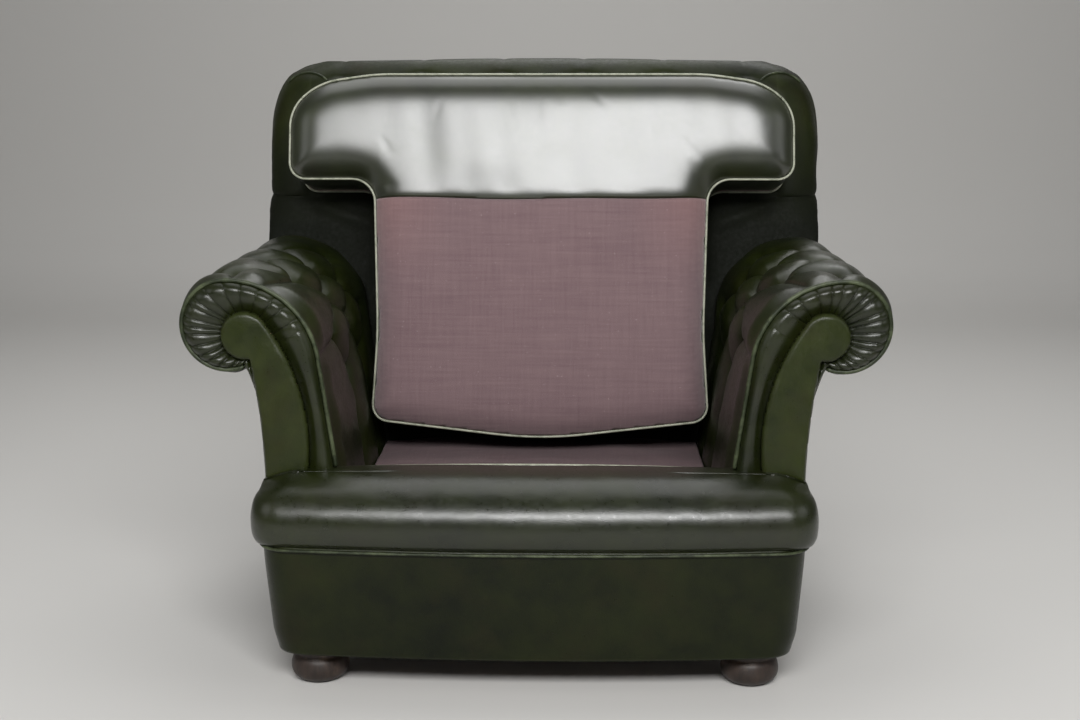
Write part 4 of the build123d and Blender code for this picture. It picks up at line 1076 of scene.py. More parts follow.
def gather_arm(side):
    """Leather gathered in pleats between the facing and the welt of one arm."""
    name = side_name(side)
    outline = arm_line(0.0035, foot_z=FACING_FOOT_Z, step=0.0011)
    travel = run_lengths(outline)
    neck_at, start_at, join_at = gather_marks(outline, travel)
    piece, u, v = field_grid(f"{name}_gathers", 900, 44)
    along = u * travel[-1]
    ox, oz = (np.interp(along, travel, values) for values in outline.T)
    turn = np.arctan2(oz - DISC[1], ox - DISC[0])
    ix, iz = facing_side(along, travel[-1], turn, neck_at, join_at)
    rng = np.random.default_rng(61 + side)
    stops = gather_stops(start_at, join_at, rng)
    strengths = rng.uniform(0.55, 1.0, len(stops) + 1)
    slant = 0.004 * np.sin(along * 31) * (1 - v)
    phase = np.interp(along + slant, stops, np.arange(len(stops)), left=-0.0001, right=len(stops) - 1)
    strength = strengths[np.clip(np.floor(phase).astype(int), 0, len(strengths) - 1)]
    ridge = np.abs(np.sin(pi * (phase - np.floor(phase)))) ** 0.40
    # the gathers run out at both ends and flatten towards the welt
    presence = ease(along, stops[0] - 0.004, stops[0] + 0.010) * (1 - ease(along, join_at + 0.012, stops[-1]))
    tail = ease(along, join_at - 0.02, join_at + 0.03)
    depth = 0.0054 * presence * (1 - 0.55 * ease(v, 0.70, 1.0) * (0.4 + 0.6 * tail)) * strength
    crown = ease(v, -0.12, 0.66) * (1 - 0.62 * np.clip((v - 0.74) / 0.26, 0, 1) ** 2)
    width = np.hypot(ox - ix, oz - iz)
    bulge = np.minimum(0.016, width * 0.45) * crown
    folds = 0.0007 * waves(along, v * 0.03, 71 + side, 0.075) * (1 - presence) * np.sin(pi * v)
    proud = np.maximum(bulge + 0.003 + depth * (ridge - 1) + folds, 0.0022)
    reach = v + 0.0012 * presence * (ridge - 0.6) * v / np.maximum(width, 1e-6)
    lay(piece, side * (ix + (ox - ix) * reach), ARM_FRONT_Y + 0.001 - proud, iz + (oz - iz) * reach)
    edit_all(piece, weld_doubles)
    return finish_skin(piece, (0, -1, 0), COVER_SKIN, "gathers leather", [f"{name}_arm_pleats"])


def welt_arm(side):
    """Welt round one arm's front, from its neck to the lip."""
    name = side_name(side)
    line = arm_line(0.0, step=0.004)
    line = line[neck_index(line):]
    path = np.stack([side * line[:, 0], np.full(len(line), ARM_FRONT_Y - WELT_R), line[:, 1]], axis=1)
    piece = tube(f"{name}_arm_welt", path, WELT_R * 0.9)
    return finish_piece(piece, "dark welt", [f"{name}_arm_piping"])


def clad_arm(side):
    """Leather down the outside of one arm and the base."""
    name = side_name(side)
    line = arm_line(0.0, foot_z=FOOT_Z, step=0.004)
    line = line[:neck_index(line) + 1]
    piece, u, v = field_grid(f"{name}_outside_leather", 110, 90)
    x, z = (on_path(values, v) for values in line.T)
    y = ARM_FRONT_Y + u * (rear_plane_y(z) - 0.003 - ARM_FRONT_Y)
    edge = ease(u, 0, 0.04) * (1 - ease(u, 0.97, 1)) * ease(v, 0, 0.05) * (1 - ease(v, 0.93, 1))
    x = x + edge * (0.0014 + 0.0013 * waves(y, z, 41 + side, 0.16))
    lay(piece, side * x, y, z)
    return finish_skin(piece, (side, 0, 0), PANEL_SKIN, "base leather", [f"{name}_outside_arm"])


# Base and lip
APRON_FRONT_Y = FRONT_Y + 0.009
APRON_BOW = 0.023
LIP_HALF_WIDTH = 0.437
DECK_HALF_WIDTH = 0.290
DECK_FRONT_Y = -0.313
DECK_FRONT_Z = 0.328
LIP_REAR_WELT_Z = 0.3325
LIP_FOLD_Z = 0.246
LIP_TUCK = 0.012


def plan_line(half_width, front_y, bow, corner, rear_y):
    """Plan from the right side's rear, round the corner, along the bowed front, to the left."""
    radius = (half_width**2 + bow**2) / (2 * bow)
    centre_y = front_y + radius
    corner_x = half_width - corner
    corner_y = centre_y - sqrt((radius - corner) ** 2 - corner_x**2)
    touch = atan2(corner_y - centre_y, corner_x)
    points = [(half_width, rear_y)]
    points += [tuple(on_circle(corner_x, corner_y, corner, turn)) for turn in np.linspace(0, touch, 16)]
    last = points[-1]
    stop_turn = atan2(last[1] - centre_y, last[0])
    points += [tuple(on_circle(0, centre_y, radius, turn))
               for turn in np.linspace(stop_turn, -pi / 2, 50)[1:]]
    points += [(-x, y) for x, y in reversed(points[:-1])]
    return evenly(points, 0.005)


def spread_plans(u, level, plans):
    """Lay each level of a grid along its own plan, from side to side."""
    spots = np.empty((2, len(u)))
    for number, plan in enumerate(plans):
        pick = level == number
        spots[:, pick] = [on_path(values, u[pick]) for values in plan.T]
    return spots


def apron_plan(level):
    """Plan of the apron at a share of its height."""
    front = APRON_FRONT_Y + 0.013 * (1 - level)
    half_width = side_x(FOOT_Z + level * (LEDGE_Z - FOOT_Z)) + 0.004 * ease(level, 0, 0.2)
    return plan_line(half_width, front, APRON_BOW, 0.050, ARM_FRONT_Y)


def clad_base():
    """Leather apron round the front of the base."""
    rows = 56
    piece, u, v = field_grid("apron_leather", 300, rows)
    z = FOOT_Z + v * (LEDGE_Z - FOOT_Z)
    level = np.rint(v * rows).astype(int)
    x, y = spread_plans(u, level, [apron_plan(row / rows) for row in range(rows + 1)])
    swell = (0.0016 + 0.0011 * waves(x, z * 1.6, 3, 0.22)) * np.sin(pi * v) ** 0.5
    swell -= 0.002 * np.exp(-(1 - v) / 0.04)
    outward = np.stack([np.where(np.abs(x) > 0.36, np.sign(x), 0), np.where(y < -0.40, -1.0, 0)])
    outward /= np.maximum(np.linalg.norm(outward, axis=0), 1)
    lay(piece, x + outward[0] * swell, y + outward[1] * swell, z)
    return finish_skin(piece, (0, -1, 0), PANEL_SKIN, "base leather", ["front_apron"])


def lip_plan(back):
    """Plan of the front roll at a setback from its front."""
    front = FRONT_Y + back
    width = LIP_HALF_WIDTH - min(back * 0.5, 0.012) - 0.006 * float(ease(back, 0.02, 0.13))
    bow = max(0.024 * (1 - float(ease(back, 0.04, 0.16))), 0.0008)
    if front + bow + 0.02 > ARM_FRONT_Y:
        return np.stack([np.linspace(width, -width, 80), np.full(80, front)], axis=1)
    return plan_line(width, front, bow, max(0.056 - back * 0.6, 0.012), max(ARM_FRONT_Y, front + 0.03))


def pad_lip():
    """Padded roll across the front, sloping forward, with its flat to the deck."""
    section = lip_section()
    rows = len(section) - 1
    piece, u, v = field_grid("front_roll", 330, rows)
    level = np.rint(v * rows).astype(int)
    inset, height = section[level].T
    x, y = spread_plans(u, level, [lip_plan(back) for back, _ in section])
    puff = ease(height, LEDGE_Z, LEDGE_Z + 0.02)
    wrinkle = 0.0009 * waves(x * 0.8, y + height, 17, 0.30) + 0.00016 * waves(x, y + height, 19, 0.06, 9)
    front_folds = 0.0005 * bell(height - LIP_FOLD_Z, 0.010) * np.sin(x * 95 + 2 * np.sin(x * 21))
    z = height + wrinkle * puff * ease(inset, 0.004, 0.03)
    face_out = 1 - ease(inset, 0.02, 0.06)
    y = y - (wrinkle * puff + front_folds) * face_out * (np.abs(x) < 0.40)
    # a slight crown in the middle, and ends that fall away
    z = z + 0.004 * (1 - (x / 0.43) ** 2) * ease(inset, 0.02, 0.08)
    z = z - 0.015 * ease(np.abs(x), 0.372, LIP_HALF_WIDTH) * ease(inset, 0.006, 0.05)
    # the rear ends are tucked in behind the facings
    tuck = ease(y, -0.354, -0.338) * ease(inset, 0.02, 0.09) * ease(np.abs(x), 0.395, 0.412)
    lay(piece, x - np.sign(x) * LIP_TUCK * tuck, y, z)
    return finish_skin(piece, (0, -1, 0.6), LIP_SKIN, "lip leather", ["front_lip"])


def lip_section():
    """Section of the front roll as (setback, height), from its bottom seam to the deck."""
    profile = [
        (0.0115, 0.2345), (0.0065, 0.2385), (0.0025, 0.246), (0.0005, 0.256), (0.0, 0.268), (0.0015, 0.281),
        (0.0065, 0.294), (0.015, 0.306), (0.026, 0.316), (0.040, 0.3245), (0.056, 0.330), (0.075, 0.3335),
        (0.098, 0.335), (0.124, 0.3345), (0.146, 0.332), (0.1505, 0.329), (0.1515, 0.318), (0.152, 0.300),
    ]
    return smooth_line(profile, 64)


def smooth_line(points, count):
    """Even points on a smooth curve through corners."""
    points = np.asarray(points, float)
    for _ in range(3):
        cut_first = points[:-1] * 0.75 + points[1:] * 0.25
        cut_last = points[:-1] * 0.25 + points[1:] * 0.75
        middle = np.stack([cut_first, cut_last], axis=1).reshape(-1, points.shape[1])
        points = np.vstack([points[:1], middle, points[-1:]])
    return along_path(points, lambda total: np.linspace(0, total, count))


def at_level(line, z):
    """A plan's points raised to a height."""
    return np.column_stack([line, np.full(len(line), z)])


def deck_edge_z(x):
    """Height of the deck's front edge, a little lower at its ends."""
    return -0.005 * (x / DECK_HALF_WIDTH) ** 2


def welt_lip():
    """Welts under the lip and behind it."""
    half_width = side_x(LEDGE_Z) + WELT_R + 0.004
    line = plan_line(half_width, APRON_FRONT_Y - WELT_R, APRON_BOW, 0.054, ARM_FRONT_Y + 0.002)
    under = tube("lip_welt", at_level(line, LEDGE_Z - 0.004), WELT_R * 0.55)
    finish_piece(under, "dark welt", ["lip_piping"])
    x = np.linspace(-DECK_HALF_WIDTH, DECK_HALF_WIDTH, 90)
    path = np.column_stack([x, np.full(len(x), DECK_FRONT_Y + 0.0025), LIP_REAR_WELT_Z + deck_edge_z(x)])
    behind = tube("lip_rear_welt", path, WELT_R * 0.72)
    return finish_piece(behind, "welt", ["lip_piping"])


def lay_deck():
    """Mauve deck cloth over its pad, down from the lip to under the cushion."""
    piece, u, v = field_grid("deck_top", 150, 130)
    x = (u * 2 - 1) * DECK_HALF_WIDTH
    y = DECK_FRONT_Y + v * (back_front_y(DECK_Z) + 0.005 - DECK_FRONT_Y)
    drop = ease(y, DECK_FRONT_Y - 0.003, -0.262)
    z = DECK_FRONT_Z + deck_edge_z(x) - (DECK_FRONT_Z - DECK_Z) * drop
    z += 0.002 * waves(x, y, 23, 0.13) * ease(y, -0.30, -0.24)
    z += 0.0035 * np.sin(pi * u) * ease(y, -0.30, -0.2)
    lay(piece, x, y, z)
    return finish_skin(piece, (0, 0, 1), THIN_SKIN, "deck cloth", ["deck_cloth", "deck_pad"])


# Back
BACK_COVER = 0.005
SIDE_ROUND = 0.075
SIDE_ROUND_DEPTH = 0.060
BACK_VOXEL = 0.0058
BACK_NECK_X = 0.4045
BACK_CORNER = np.array((
    (0.5300, 0.820), (0.5290, 0.842), (0.5265, 0.865), (0.5210, 0.888), (0.5120, 0.911),
    (0.4980, 0.934), (0.4760, 0.953), (0.4400, 0.966)))


def back_outline_x(z):
    """Half width of the back at a height."""
    return np.interp(z, BACK_CORNER[:, 1], BACK_CORNER[:, 0])


def prism(name, corners, axis, low, high):
    """A prism with corners in a plane across an axis."""
    clear_selection()
    bpy.ops.mesh.primitive_circle_add(vertices=len(corners), fill_type="NGON")
    piece = bpy.context.active_object
    piece.name = name
    spots = np.insert(np.array(corners, float), axis, low, axis=1)
    move = [0, 0, 0]
    move[axis] = high - low
    lay(piece, *spots.T)
    edit_all(piece, lambda: bpy.ops.mesh.extrude_region_move(TRANSFORM_OT_translate={"value": move}))
    edit_all(piece, outward_normals)
    return piece


def common_part(first, second):
    """Keep what two solids share."""
    apply_modifier(first, "BOOLEAN", operation="INTERSECT", solver="EXACT", object=second)
    bpy.data.objects.remove(second)
    return first


def padded_back_volume():
    """Whole padded back, rounded, before its leather is drawn in."""
    section = [(back_front_y(BACK_FOOT_Z), BACK_FOOT_Z)]
    for turn in np.linspace(BACK_LEAN, pi + radians(36), 48):
        section.append((ROLL_Y - ROLL_R * cos(turn), ROLL_Z + ROLL_R * sin(turn)))
    section += [(rear_plane_y(z) - BACK_COVER, z) for z in (BACK_TOP_Z, BACK_FOOT_Z)]
    body = prism("back_volume", section, 0, -0.6, 0.6)
    half = [(BACK_NECK_X, BACK_FOOT_Z), (BACK_NECK_X, 0.4961)]
    for turn in np.linspace(NECK_TURN - 2 * pi, 0.92, 26):
        half.append(tuple(on_circle(SCROLL_X, SCROLL_Z, SCROLL_R, turn)))
    half += [(0.5245, 0.62), (0.529, 0.70), (0.5315, 0.80)]
    half += [tuple(spot) for spot in arc_through((0.5315, 0.83), (0.523, 0.894), (0.496, 0.944), 10)]
    half += [(0.468, 0.9605), (0.425, 0.9690), (0.30, 0.9705), (0.15, 0.9738), (0.0, 0.975)]
    front = half + [(-x, z) for x, z in reversed(half[:-1])]
    return common_part(body, prism("back_front_view", front, 1, -0.1, 0.6))


def side_roundness(x, z):
    """How far a point of the back is pushed rearwards to round its sides."""
    gap = np.clip((back_outline_x(z) - np.abs(x)) / SIDE_ROUND, 0, 1)
    return SIDE_ROUND_DEPTH * (1 - np.sqrt(np.clip(1 - (1 - gap) ** 2, 0, 1)))


BACK_ROLL_X = (-0.385, -0.231, -0.077, 0.077, 0.231, 0.385)
BACK_WALL_X = (-0.308, -0.154, 0.0, 0.154, 0.308)
BACK_WALL_Z = 0.858
ROLL_TUFT_TURN = {0.077: radians(30), 0.231: radians(30), 0.385: radians(20)}


def back_run(y, z):
    """Run up the back's front from the wing seam's height, over the roll."""
    turn = np.arctan2(z - ROLL_Z, ROLL_Y - y)
    wall = (z - ROLL_START_Z) / cos(BACK_LEAN)
    turn = np.where(turn < -1.2, turn + 2 * pi, turn)
    over = (turn - BACK_LEAN) * ROLL_R
    on_roll = (turn > BACK_LEAN) & (z > 0.84)
    return np.where(on_roll, over, np.minimum(wall, 0.0))


def roll_tuft_run(x):
    """Run up the back at which the roll's button of a column sits."""
    return (ROLL_TUFT_TURN[abs(x)] - BACK_LEAN) * ROLL_R


def back_relief(x, y, z, sizes):
    """Padding relief of the back as a function of place."""
    run = back_run(y, z)
    wall_run = (BACK_WALL_Z - ROLL_START_Z) / cos(BACK_LEAN)
    tufts = [(rx, roll_tuft_run(rx)) for rx in BACK_ROLL_X]
    pleats = []
    for rx, roll_run in tufts:
        pleats += [(wx, wall_run, rx, roll_run, 0.9) for wx in BACK_WALL_X if abs(wx - rx) < 0.1]
        pleats.append((rx, roll_run, rx * 1.01, 0.26, 1.0))
    pleats += [(wx, wall_run, wx, -0.35, 0.6) for wx in BACK_WALL_X]
    buttons = [(wx, wall_run) for wx in BACK_WALL_X] + tufts
    relief = buttoned_relief(x, run, pleats, buttons, sizes) - sizes.pillow
    # past the roll's buttons the padding gives way to straight pleats and short gathers
    row_run = np.interp(np.abs(x), [0.231, 0.385], [roll_tuft_run(0.231), roll_tuft_run(0.385)])
    crest = ease(run - row_run, 0.004, 0.034)
    lines = np.zeros_like(x)
    fans = np.zeros_like(x)
    for rx, start in tufts:
        line = np.exp(-np.abs(x - rx * 1.005) / 0.0035) + 0.2 * bell(x - rx, 0.016)
        lines = np.maximum(lines, line)
        for spread, reach in ((-0.016, 0.05), (-0.007, 0.085), (0.006, 0.075), (0.015, 0.055)):
            gap, _, share = segment_gap(x, run, rx, start, rx + spread * 2.2, start + reach)
            fans = np.maximum(fans, bell(gap, 0.0032) * (1 - share) ** 0.7)
    return relief * (1 - crest) - crest * (0.002 + 0.0020 * lines) - 0.0016 * fans


def pad_back(sizes):
    """The padded back: inside with its rolled top, two wings and two lower wings."""
    volume = padded_back_volume()
    apply_modifier(volume, "REMESH", mode="VOXEL", voxel_size=BACK_VOXEL)
    apply_modifier(volume, "SMOOTH", iterations=6, factor=0.5)
    x, y, z = points_of(volume).T
    rear = rear_plane_y(z) - BACK_COVER
    forward = np.clip((rear - y) / np.maximum(rear - back_front_y(z), 0.05), 0, 1)
    lay(volume, x, y + side_roundness(x, z) * ease(z, 0.60, 0.72) * forward, z)
    apply_modifier(volume, "SMOOTH", iterations=5, factor=0.5)
    draw_in_back(volume, sizes)
    welt_back(volume)
    between = [((side * WING_SEAM_X, 0, 0), (side, 0, 0)) for side in (1, -1)]
    parts = {"inside_back": cut_copy(volume, "inside_back_padding", between)}
    for side in (-1, 1):
        name = side_name(side)
        outer = ((side * WING_SEAM_X, 0, 0), (-side, 0, 0))
        for node, up in ((f"{name}_wing", -1), (f"{name}_lower_wing", 1)):
            planes = [outer, ((0, 0, WING_SEAM_Z), (0, 0, up))]
            parts[node] = cut_copy(volume, f"{node}_padding", planes)
    bpy.data.objects.remove(volume)
    for node, piece in parts.items():
        finish_piece(piece, "back leather", [node], sharp=radians(70))


def back_buttons(sizes):
    """Leather buttons of the back, on its roll and on its wall."""
    sink = sizes.pillow + sizes.pleat + sizes.dimple - 0.013
    places = []
    for x in BACK_ROLL_X:
        turn = ROLL_TUFT_TURN[abs(x)]
        direction = (0, -cos(turn), sin(turn))
        reach = ROLL_R - sink
        places.append(((x, ROLL_Y + direction[1] * reach, ROLL_Z + direction[2] * reach), direction))
    direction = (0, -cos(BACK_LEAN), sin(BACK_LEAN))
    wall_y = back_front_y(BACK_WALL_Z) - direction[1] * sink
    places += [((x, wall_y, BACK_WALL_Z - direction[2] * sink), direction) for x in BACK_WALL_X]
    return button_piece("back_button_rows", places, ["back_buttons"])


def draw_in_back(volume, sizes):
    """Buttoning, seams and folds of the whole back, before it is parted."""
    spots = points_of(volume)
    normal = np.array([vertex.normal for vertex in volume.data.vertices])
    x, y, z = spots.T
    inside = 1 - ease(np.abs(x), 0.408, 0.446)
    wing = 1 - inside
    rise = (back_relief(x, y, z, sizes) + 0.002) * inside
    rise += 0.0014 * waves(x + y, z, 51, 0.12) * wing
    rise -= 0.005 * np.exp(-np.abs(z - WING_SEAM_Z) / 0.005) * wing
    rise += 0.0014 * bell(z - 0.74, 0.04) * np.sin(np.abs(x) * 80 + 1.2) * wing
    seam = np.abs(np.abs(x) - WING_SEAM_X)
    seam_depth = 0.006 * ease(z, 0.69, 0.74) * (1 - ease(z, 0.87, 0.92))
    rise -= seam_depth * np.exp(-((seam / 0.007) ** 1.3))
    # one long fold sweeps from each wing's seam inwards
    sweep, _, share = segment_gap(np.abs(x), z, 0.452, 0.708, 0.300, 0.652)
    rise += 0.006 * bell(sweep, 0.012) * np.sin(pi * np.clip(share, 0, 1)) ** 0.7
    front = ease(rear_plane_y(z) - y, 0.02, 0.06)
    lay(volume, *(spots + normal * (rise * front)[:, None]).T)


def cut_copy(source, name, planes):
    """A copy of a solid kept on one side of each plane, its cuts closed."""
    pick_only(source)
    bpy.ops.object.duplicate()
    piece = bpy.context.active_object
    piece.name = name
    piece.data.name = name
    for place, normal in planes:
        edit_all(piece, lambda: bpy.ops.mesh.bisect(
            plane_co=place, plane_no=normal, use_fill=True, clear_outer=True, clear_inner=False))
    return piece


def welt_back(volume):
    """Short welts over the wings' tops, laid on the padding."""
    welts = []
    for side in (-1, 1):
        path = []
        for x, z in arc_through((0.412, 0.931), (0.456, 0.9465), (0.496, 0.930), 26):
            y = ROLL_Y - sqrt(max(ROLL_R**2 - (z - ROLL_Z) ** 2, 0)) + side_roundness(x, z) * 0.8
            _, spot, normal, _ = volume.closest_point_on_mesh((side * x, y, z))
            path.append(tuple(spot + normal * WELT_R * 0.2))
        welts.append(tube("wing_welt", smooth_line(path, 40), WELT_R * 0.5))
    return finish_piece(join_pieces(welts, "wing_top_welts"), "dark welt", ["wing_piping"])


# Corners of the rear panel from its foot up, each with its arc's radius
REAR_PANEL = (
    (BASE_HALF_WIDTH, FOOT_Z, 0), (0.422, BELT_Z, 0.5), (*ARM_HOLLOW, 0.034),
    (0.518, WING_SEAM_Z, 0.034), (0.518, BACK_TOP_Z, 0.034))


def rear_outline(inset):
    """Outline of the rear panel, drawn in by some distance."""
    right = [(x - inset, z - (inset if z > 0.8 else 0)) for x, z, _ in REAR_PANEL]
    bends = [bend for _, _, bend in REAR_PANEL]
    corners = right + [(-x, z) for x, z in reversed(right)]
    return evenly(rounded_outline(corners, bends + bends[::-1]), 0.006, looped=True)


def clad_back():
    """Flat leather panel over the outside of the back, and its welt."""
    piece, x, z, gap = outline_panel("outside_back_leather", rear_outline(0.0085), 0.009)
    puff = 0.0022 * rise_over(gap, 0.03) + 0.0012 * waves(x, z, 91, 0.25) * rise_over(gap, 0.05)
    lay(piece, x, rear_plane_y(z) - 0.0015 + puff, z)
    finish_skin(piece, (0, 1, 0), COVER_SKIN, "base leather", ["outside_back"])
    line = rear_outline(0.0042)
    start = int(np.argmin(np.abs(line[:, 1] - FOOT_Z) + np.abs(line[:, 0] - 0.398)))
    x, z = np.roll(line, -start, axis=0).T
    path = np.column_stack([x, rear_plane_y(z) - 0.0042, z])[z > FOOT_Z + 0.001]
    welt = tube("outside_back_welt", path, WELT_R * 0.85)
    return finish_piece(welt, "dark welt", ["outside_back_piping"])


# Loose back cushion
CUSHION_FOOT = np.array((0.0, -0.0101, 0.3040))
CUSHION_UP = np.array((0.0, 0.2284, 0.9736))
CUSHION_FORWARD = np.array((0.0, -0.9736, 0.2284))
CUSHION_DEPTH = 0.152
CUSHION_STEP = 0.004
CUSHION_CELL = 0.0042
SEAM_SNAP = 0.0022
SEAM_V = 0.430


def cushion_outline():
    """T outline of the cushion in its own plane."""
    corners = [(0, 0), (0.299, 0.034), (0.290, 0.190), (0.299, 0.468), (0.453, 0.468), (0.453, 0.592),
               (0.405, 0.640), (0.300, 0.6555)]
    radii = [0.700, 0.028, 0.900, 0.044, 0.028, 0.075, 0.120, 0.400]
    corners += [(-x, v) for x, v in reversed(corners[1:])]
    radii += list(reversed(radii[1:]))
    return evenly(rounded_outline(corners, radii), CUSHION_STEP, looped=True)


def cushion_place(x, v, forward):
    """Place in space of points in the cushion's plane."""
    spots = CUSHION_FOOT + np.outer(v, CUSHION_UP) + np.outer(forward, CUSHION_FORWARD)
    spots[:, 0] = x
    return spots.T


# Creases of the cushion's leather, each from one place to another, with its depth
CUSHION_CREASES = (
    (-0.262, 0.500, -0.290, 0.545, 0.0005), (-0.252, 0.448, -0.292, 0.458, 0.0007),
    (-0.345, 0.470, -0.420, 0.480, 0.0007), (-0.190, 0.560, -0.178, 0.612, 0.0003),
    (-0.060, 0.642, -0.048, 0.570, 0.0005), (-0.012, 0.641, 0.002, 0.560, 0.0005),
    (0.030, 0.640, 0.036, 0.590, 0.0004), (0.080, 0.632, 0.124, 0.585, 0.0005),
    (0.244, 0.545, 0.290, 0.488, 0.0006), (0.262, 0.500, 0.286, 0.452, 0.0005),
    (0.405, 0.486, 0.432, 0.512, 0.0008), (0.392, 0.480, 0.420, 0.495, 0.0006),
    (0.395, 0.560, 0.425, 0.572, 0.0004),
)


def cushion_crown_rise(v, gap, crown):
    """How far the cushion's stuffing brings its front before the seam."""
    rise = 0.006 * rise_over(gap, 0.006) + crown * (1 - np.exp(-((gap / 0.023) ** 1.5)))
    return rise + 0.0015 * ease(v, SEAM_V - 0.002, SEAM_V + 0.004) * (gap > 0.006)


def cushion_folds(x, v, gap):
    """Seam, creases and soft folds of the cushion's front."""
    upper = ease(v, SEAM_V - 0.005, SEAM_V + 0.02)
    folds = -0.0022 * np.exp(-np.abs(v - seam_line(x)) / 0.003)
    for side in (-1, 1):
        ear = np.exp(-np.maximum(v - 0.478, 0) / 0.022) * (side * x > 0.29) * (gap > 0.002)
        folds += 0.0007 * ear * np.sin((side * x - 0.30) * 105 + v * 22)
    for ax, av, bx, bv, depth in CUSHION_CREASES:
        gap_to, _, share = segment_gap(x, v, ax, av, bx, bv)
        folds -= depth * bell(gap_to, 0.0065) * np.sin(pi * np.clip(share, 0, 1)) ** 1.2
    broad = np.sin(x * 19 + 1.1 * np.sin(x * 7 + 2) + v * 5) * ease(v, 0.44, 0.50)
    folds += upper * (0.0010 * broad + 0.0006 * waves(x, v * 0.35, 79, 0.085, 8))
    folds += (1 - upper) * 0.0010 * waves(x, v, 81, 0.26)
    return folds * rise_over(gap, 0.012)


def soften(piece, weights, rounds):
    """Smooth a piece by a share at each of its points."""
    group = piece.vertex_groups.new(name="soft")
    for number, weight in enumerate(weights):
        group.add([number], float(weight), "REPLACE")
    apply_modifier(piece, "SMOOTH", iterations=rounds, factor=0.5, vertex_group=group.name)
    piece.vertex_groups.clear()
    return points_of(piece)


def seam_line(x):
    """Height of the seam between the cushion's leather and cloth."""
    return SEAM_V - 0.0035 * np.cos(np.asarray(x) * 5.2) + 0.001 * np.sin(np.asarray(x) * 23)


def cushion_front(outline, sizes):
    """Leather band and cloth of the cushion's front, parted at their seam."""
    front, x, v, gap = outline_panel("cushion_front", outline, CUSHION_CELL)
    # rows of points close to the seam are moved onto it
    line = seam_line(x)
    v = np.where(np.abs(v - line) < SEAM_SNAP, line, v)
    lay(front, x, v, cushion_crown_rise(v, gap, sizes.crown))
    rise = soften(front, ease(gap, 0.010, 0.035), 16)[:, 2] + cushion_folds(x, v, gap)
    middle = np.array([face.center[:2] for face in front.data.polygons])
    lay(front, *cushion_place(x, v, rise - WELT_R))
    front.data.materials.clear()
    pick_only(front)
    mark(front, "polygons", middle[:, 1] > seam_line(middle[:, 0]))
    bpy.ops.object.mode_set(mode="EDIT")
    bpy.ops.mesh.select_mode(type="FACE")
    bpy.ops.mesh.separate(type="SELECTED")
    bpy.ops.mesh.select_mode(type="VERT")
    bpy.ops.object.mode_set(mode="OBJECT")
    band = next(piece for piece in bpy.context.selected_objects if piece is not front)
    band.name = "cushion_leather_band"
    front.name = "cushion_cloth_front"
    for piece in (band, front):
        face_towards(piece, CUSHION_FORWARD)
        thicken(piece, COVER_SKIN)
    finish_piece(band, "cushion leather", ["cushion_leather_panel"], CUSHION)
    finish_piece(front, "cloth", ["cushion_fabric_panel"], CUSHION)


def cushion_rear(outline):
    """Cloth over the cushion's rear."""
    rear, x, v, gap = outline_panel("cushion_rear", outline, 0.008)
    puff = 0.004 * rise_over(gap, 0.02) + 0.0015 * waves(x, v, 83, 0.2) * rise_over(gap, 0.03)
    lay(rear, *cushion_place(x, v, 0.006 - CUSHION_DEPTH - puff))
    nodes = ["cushion_rear_panel", "cushion_filling"]
    finish_skin(rear, -CUSHION_FORWARD, THIN_SKIN, "cloth", nodes, CUSHION)


def cushion_border(outline, out):
    """Leather boxing between the cushion's front and rear."""
    count = len(outline)
    box, u, w = field_grid("cushion_border", count, 22)
    place = np.rint(u * count).astype(int) % count
    bulge = (0.0030 + 0.0014 * waves(u * count * CUSHION_STEP, w * 0.05, 87, 0.05)) * np.sin(pi * w) - 0.001
    x, v = (outline[place] + out[place] * bulge[:, None]).T
    lay(box, *cushion_place(x, v, -0.0035 - w * (CUSHION_DEPTH - 0.007)))
    edit_all(box, weld_doubles, outward_normals)
    thicken(box, THIN_SKIN)
    finish_piece(box, "cushion leather", ["cushion_boxing"], CUSHION)


def cushion_welts(outline, out):
    """Welts round both seams of the boxing."""
    x, v = (outline + out * 0.0015).T
    welts = []
    for forward in (-WELT_R, WELT_R - CUSHION_DEPTH):
        path = np.stack(cushion_place(x, v, np.full(len(outline), forward)), axis=1)
        welts.append(tube("cushion_welt", path, WELT_R * 0.52, looped=True))
    welt = join_pieces(welts, "cushion_welts")
    finish_piece(welt, "welt", ["cushion_piping"], CUSHION)


def stuff_cushion(sizes):
    """The T-shaped back cushion: leather band, cloth, rear, boxing and welts."""
    outline = cushion_outline()
    ahead = np.roll(outline, -1, axis=0) - np.roll(outline, 1, axis=0)
    ahead /= np.linalg.norm(ahead, axis=1)[:, None]
    out = np.stack([ahead[:, 1], -ahead[:, 0]], axis=1)
    cushion_front(outline, sizes)
    cushion_rear(outline)
    cushion_border(outline, out)
    cushion_welts(outline, out)


# Feet, underside and frame
FOOT_PROFILE = (
    (0.0, 0.0), (0.026, 0.0), (0.029, 0.001), (0.036, 0.004), (0.0435, 0.011), (0.046, 0.021),
    (0.0445, 0.031), (0.0425, 0.037), (0.0395, 0.0405), (0.0375, 0.0435), (0.0385, 0.048),
    (0.0375, 0.053), (0.036, FOOT_Z), (0.0, FOOT_Z))


def turn_foot(name, x, y):
    """Turned bun foot."""
    rows = 59
    profile = smooth_line(FOOT_PROFILE, rows + 1)
    piece, u, v = field_grid(f"{name}_turning", 64, rows)
    radius, z = profile[np.rint(v * rows).astype(int)].T
    turn = u * 2 * pi
    radius = radius * (1 + 0.004 * np.sin(turn * 3 + 1) * (radius > 0.03))
    lay(piece, x + radius * np.cos(turn), y + radius * np.sin(turn), z)
    edit_all(piece, weld_doubles, outward_normals)
    return finish_piece(piece, "foot", [name])


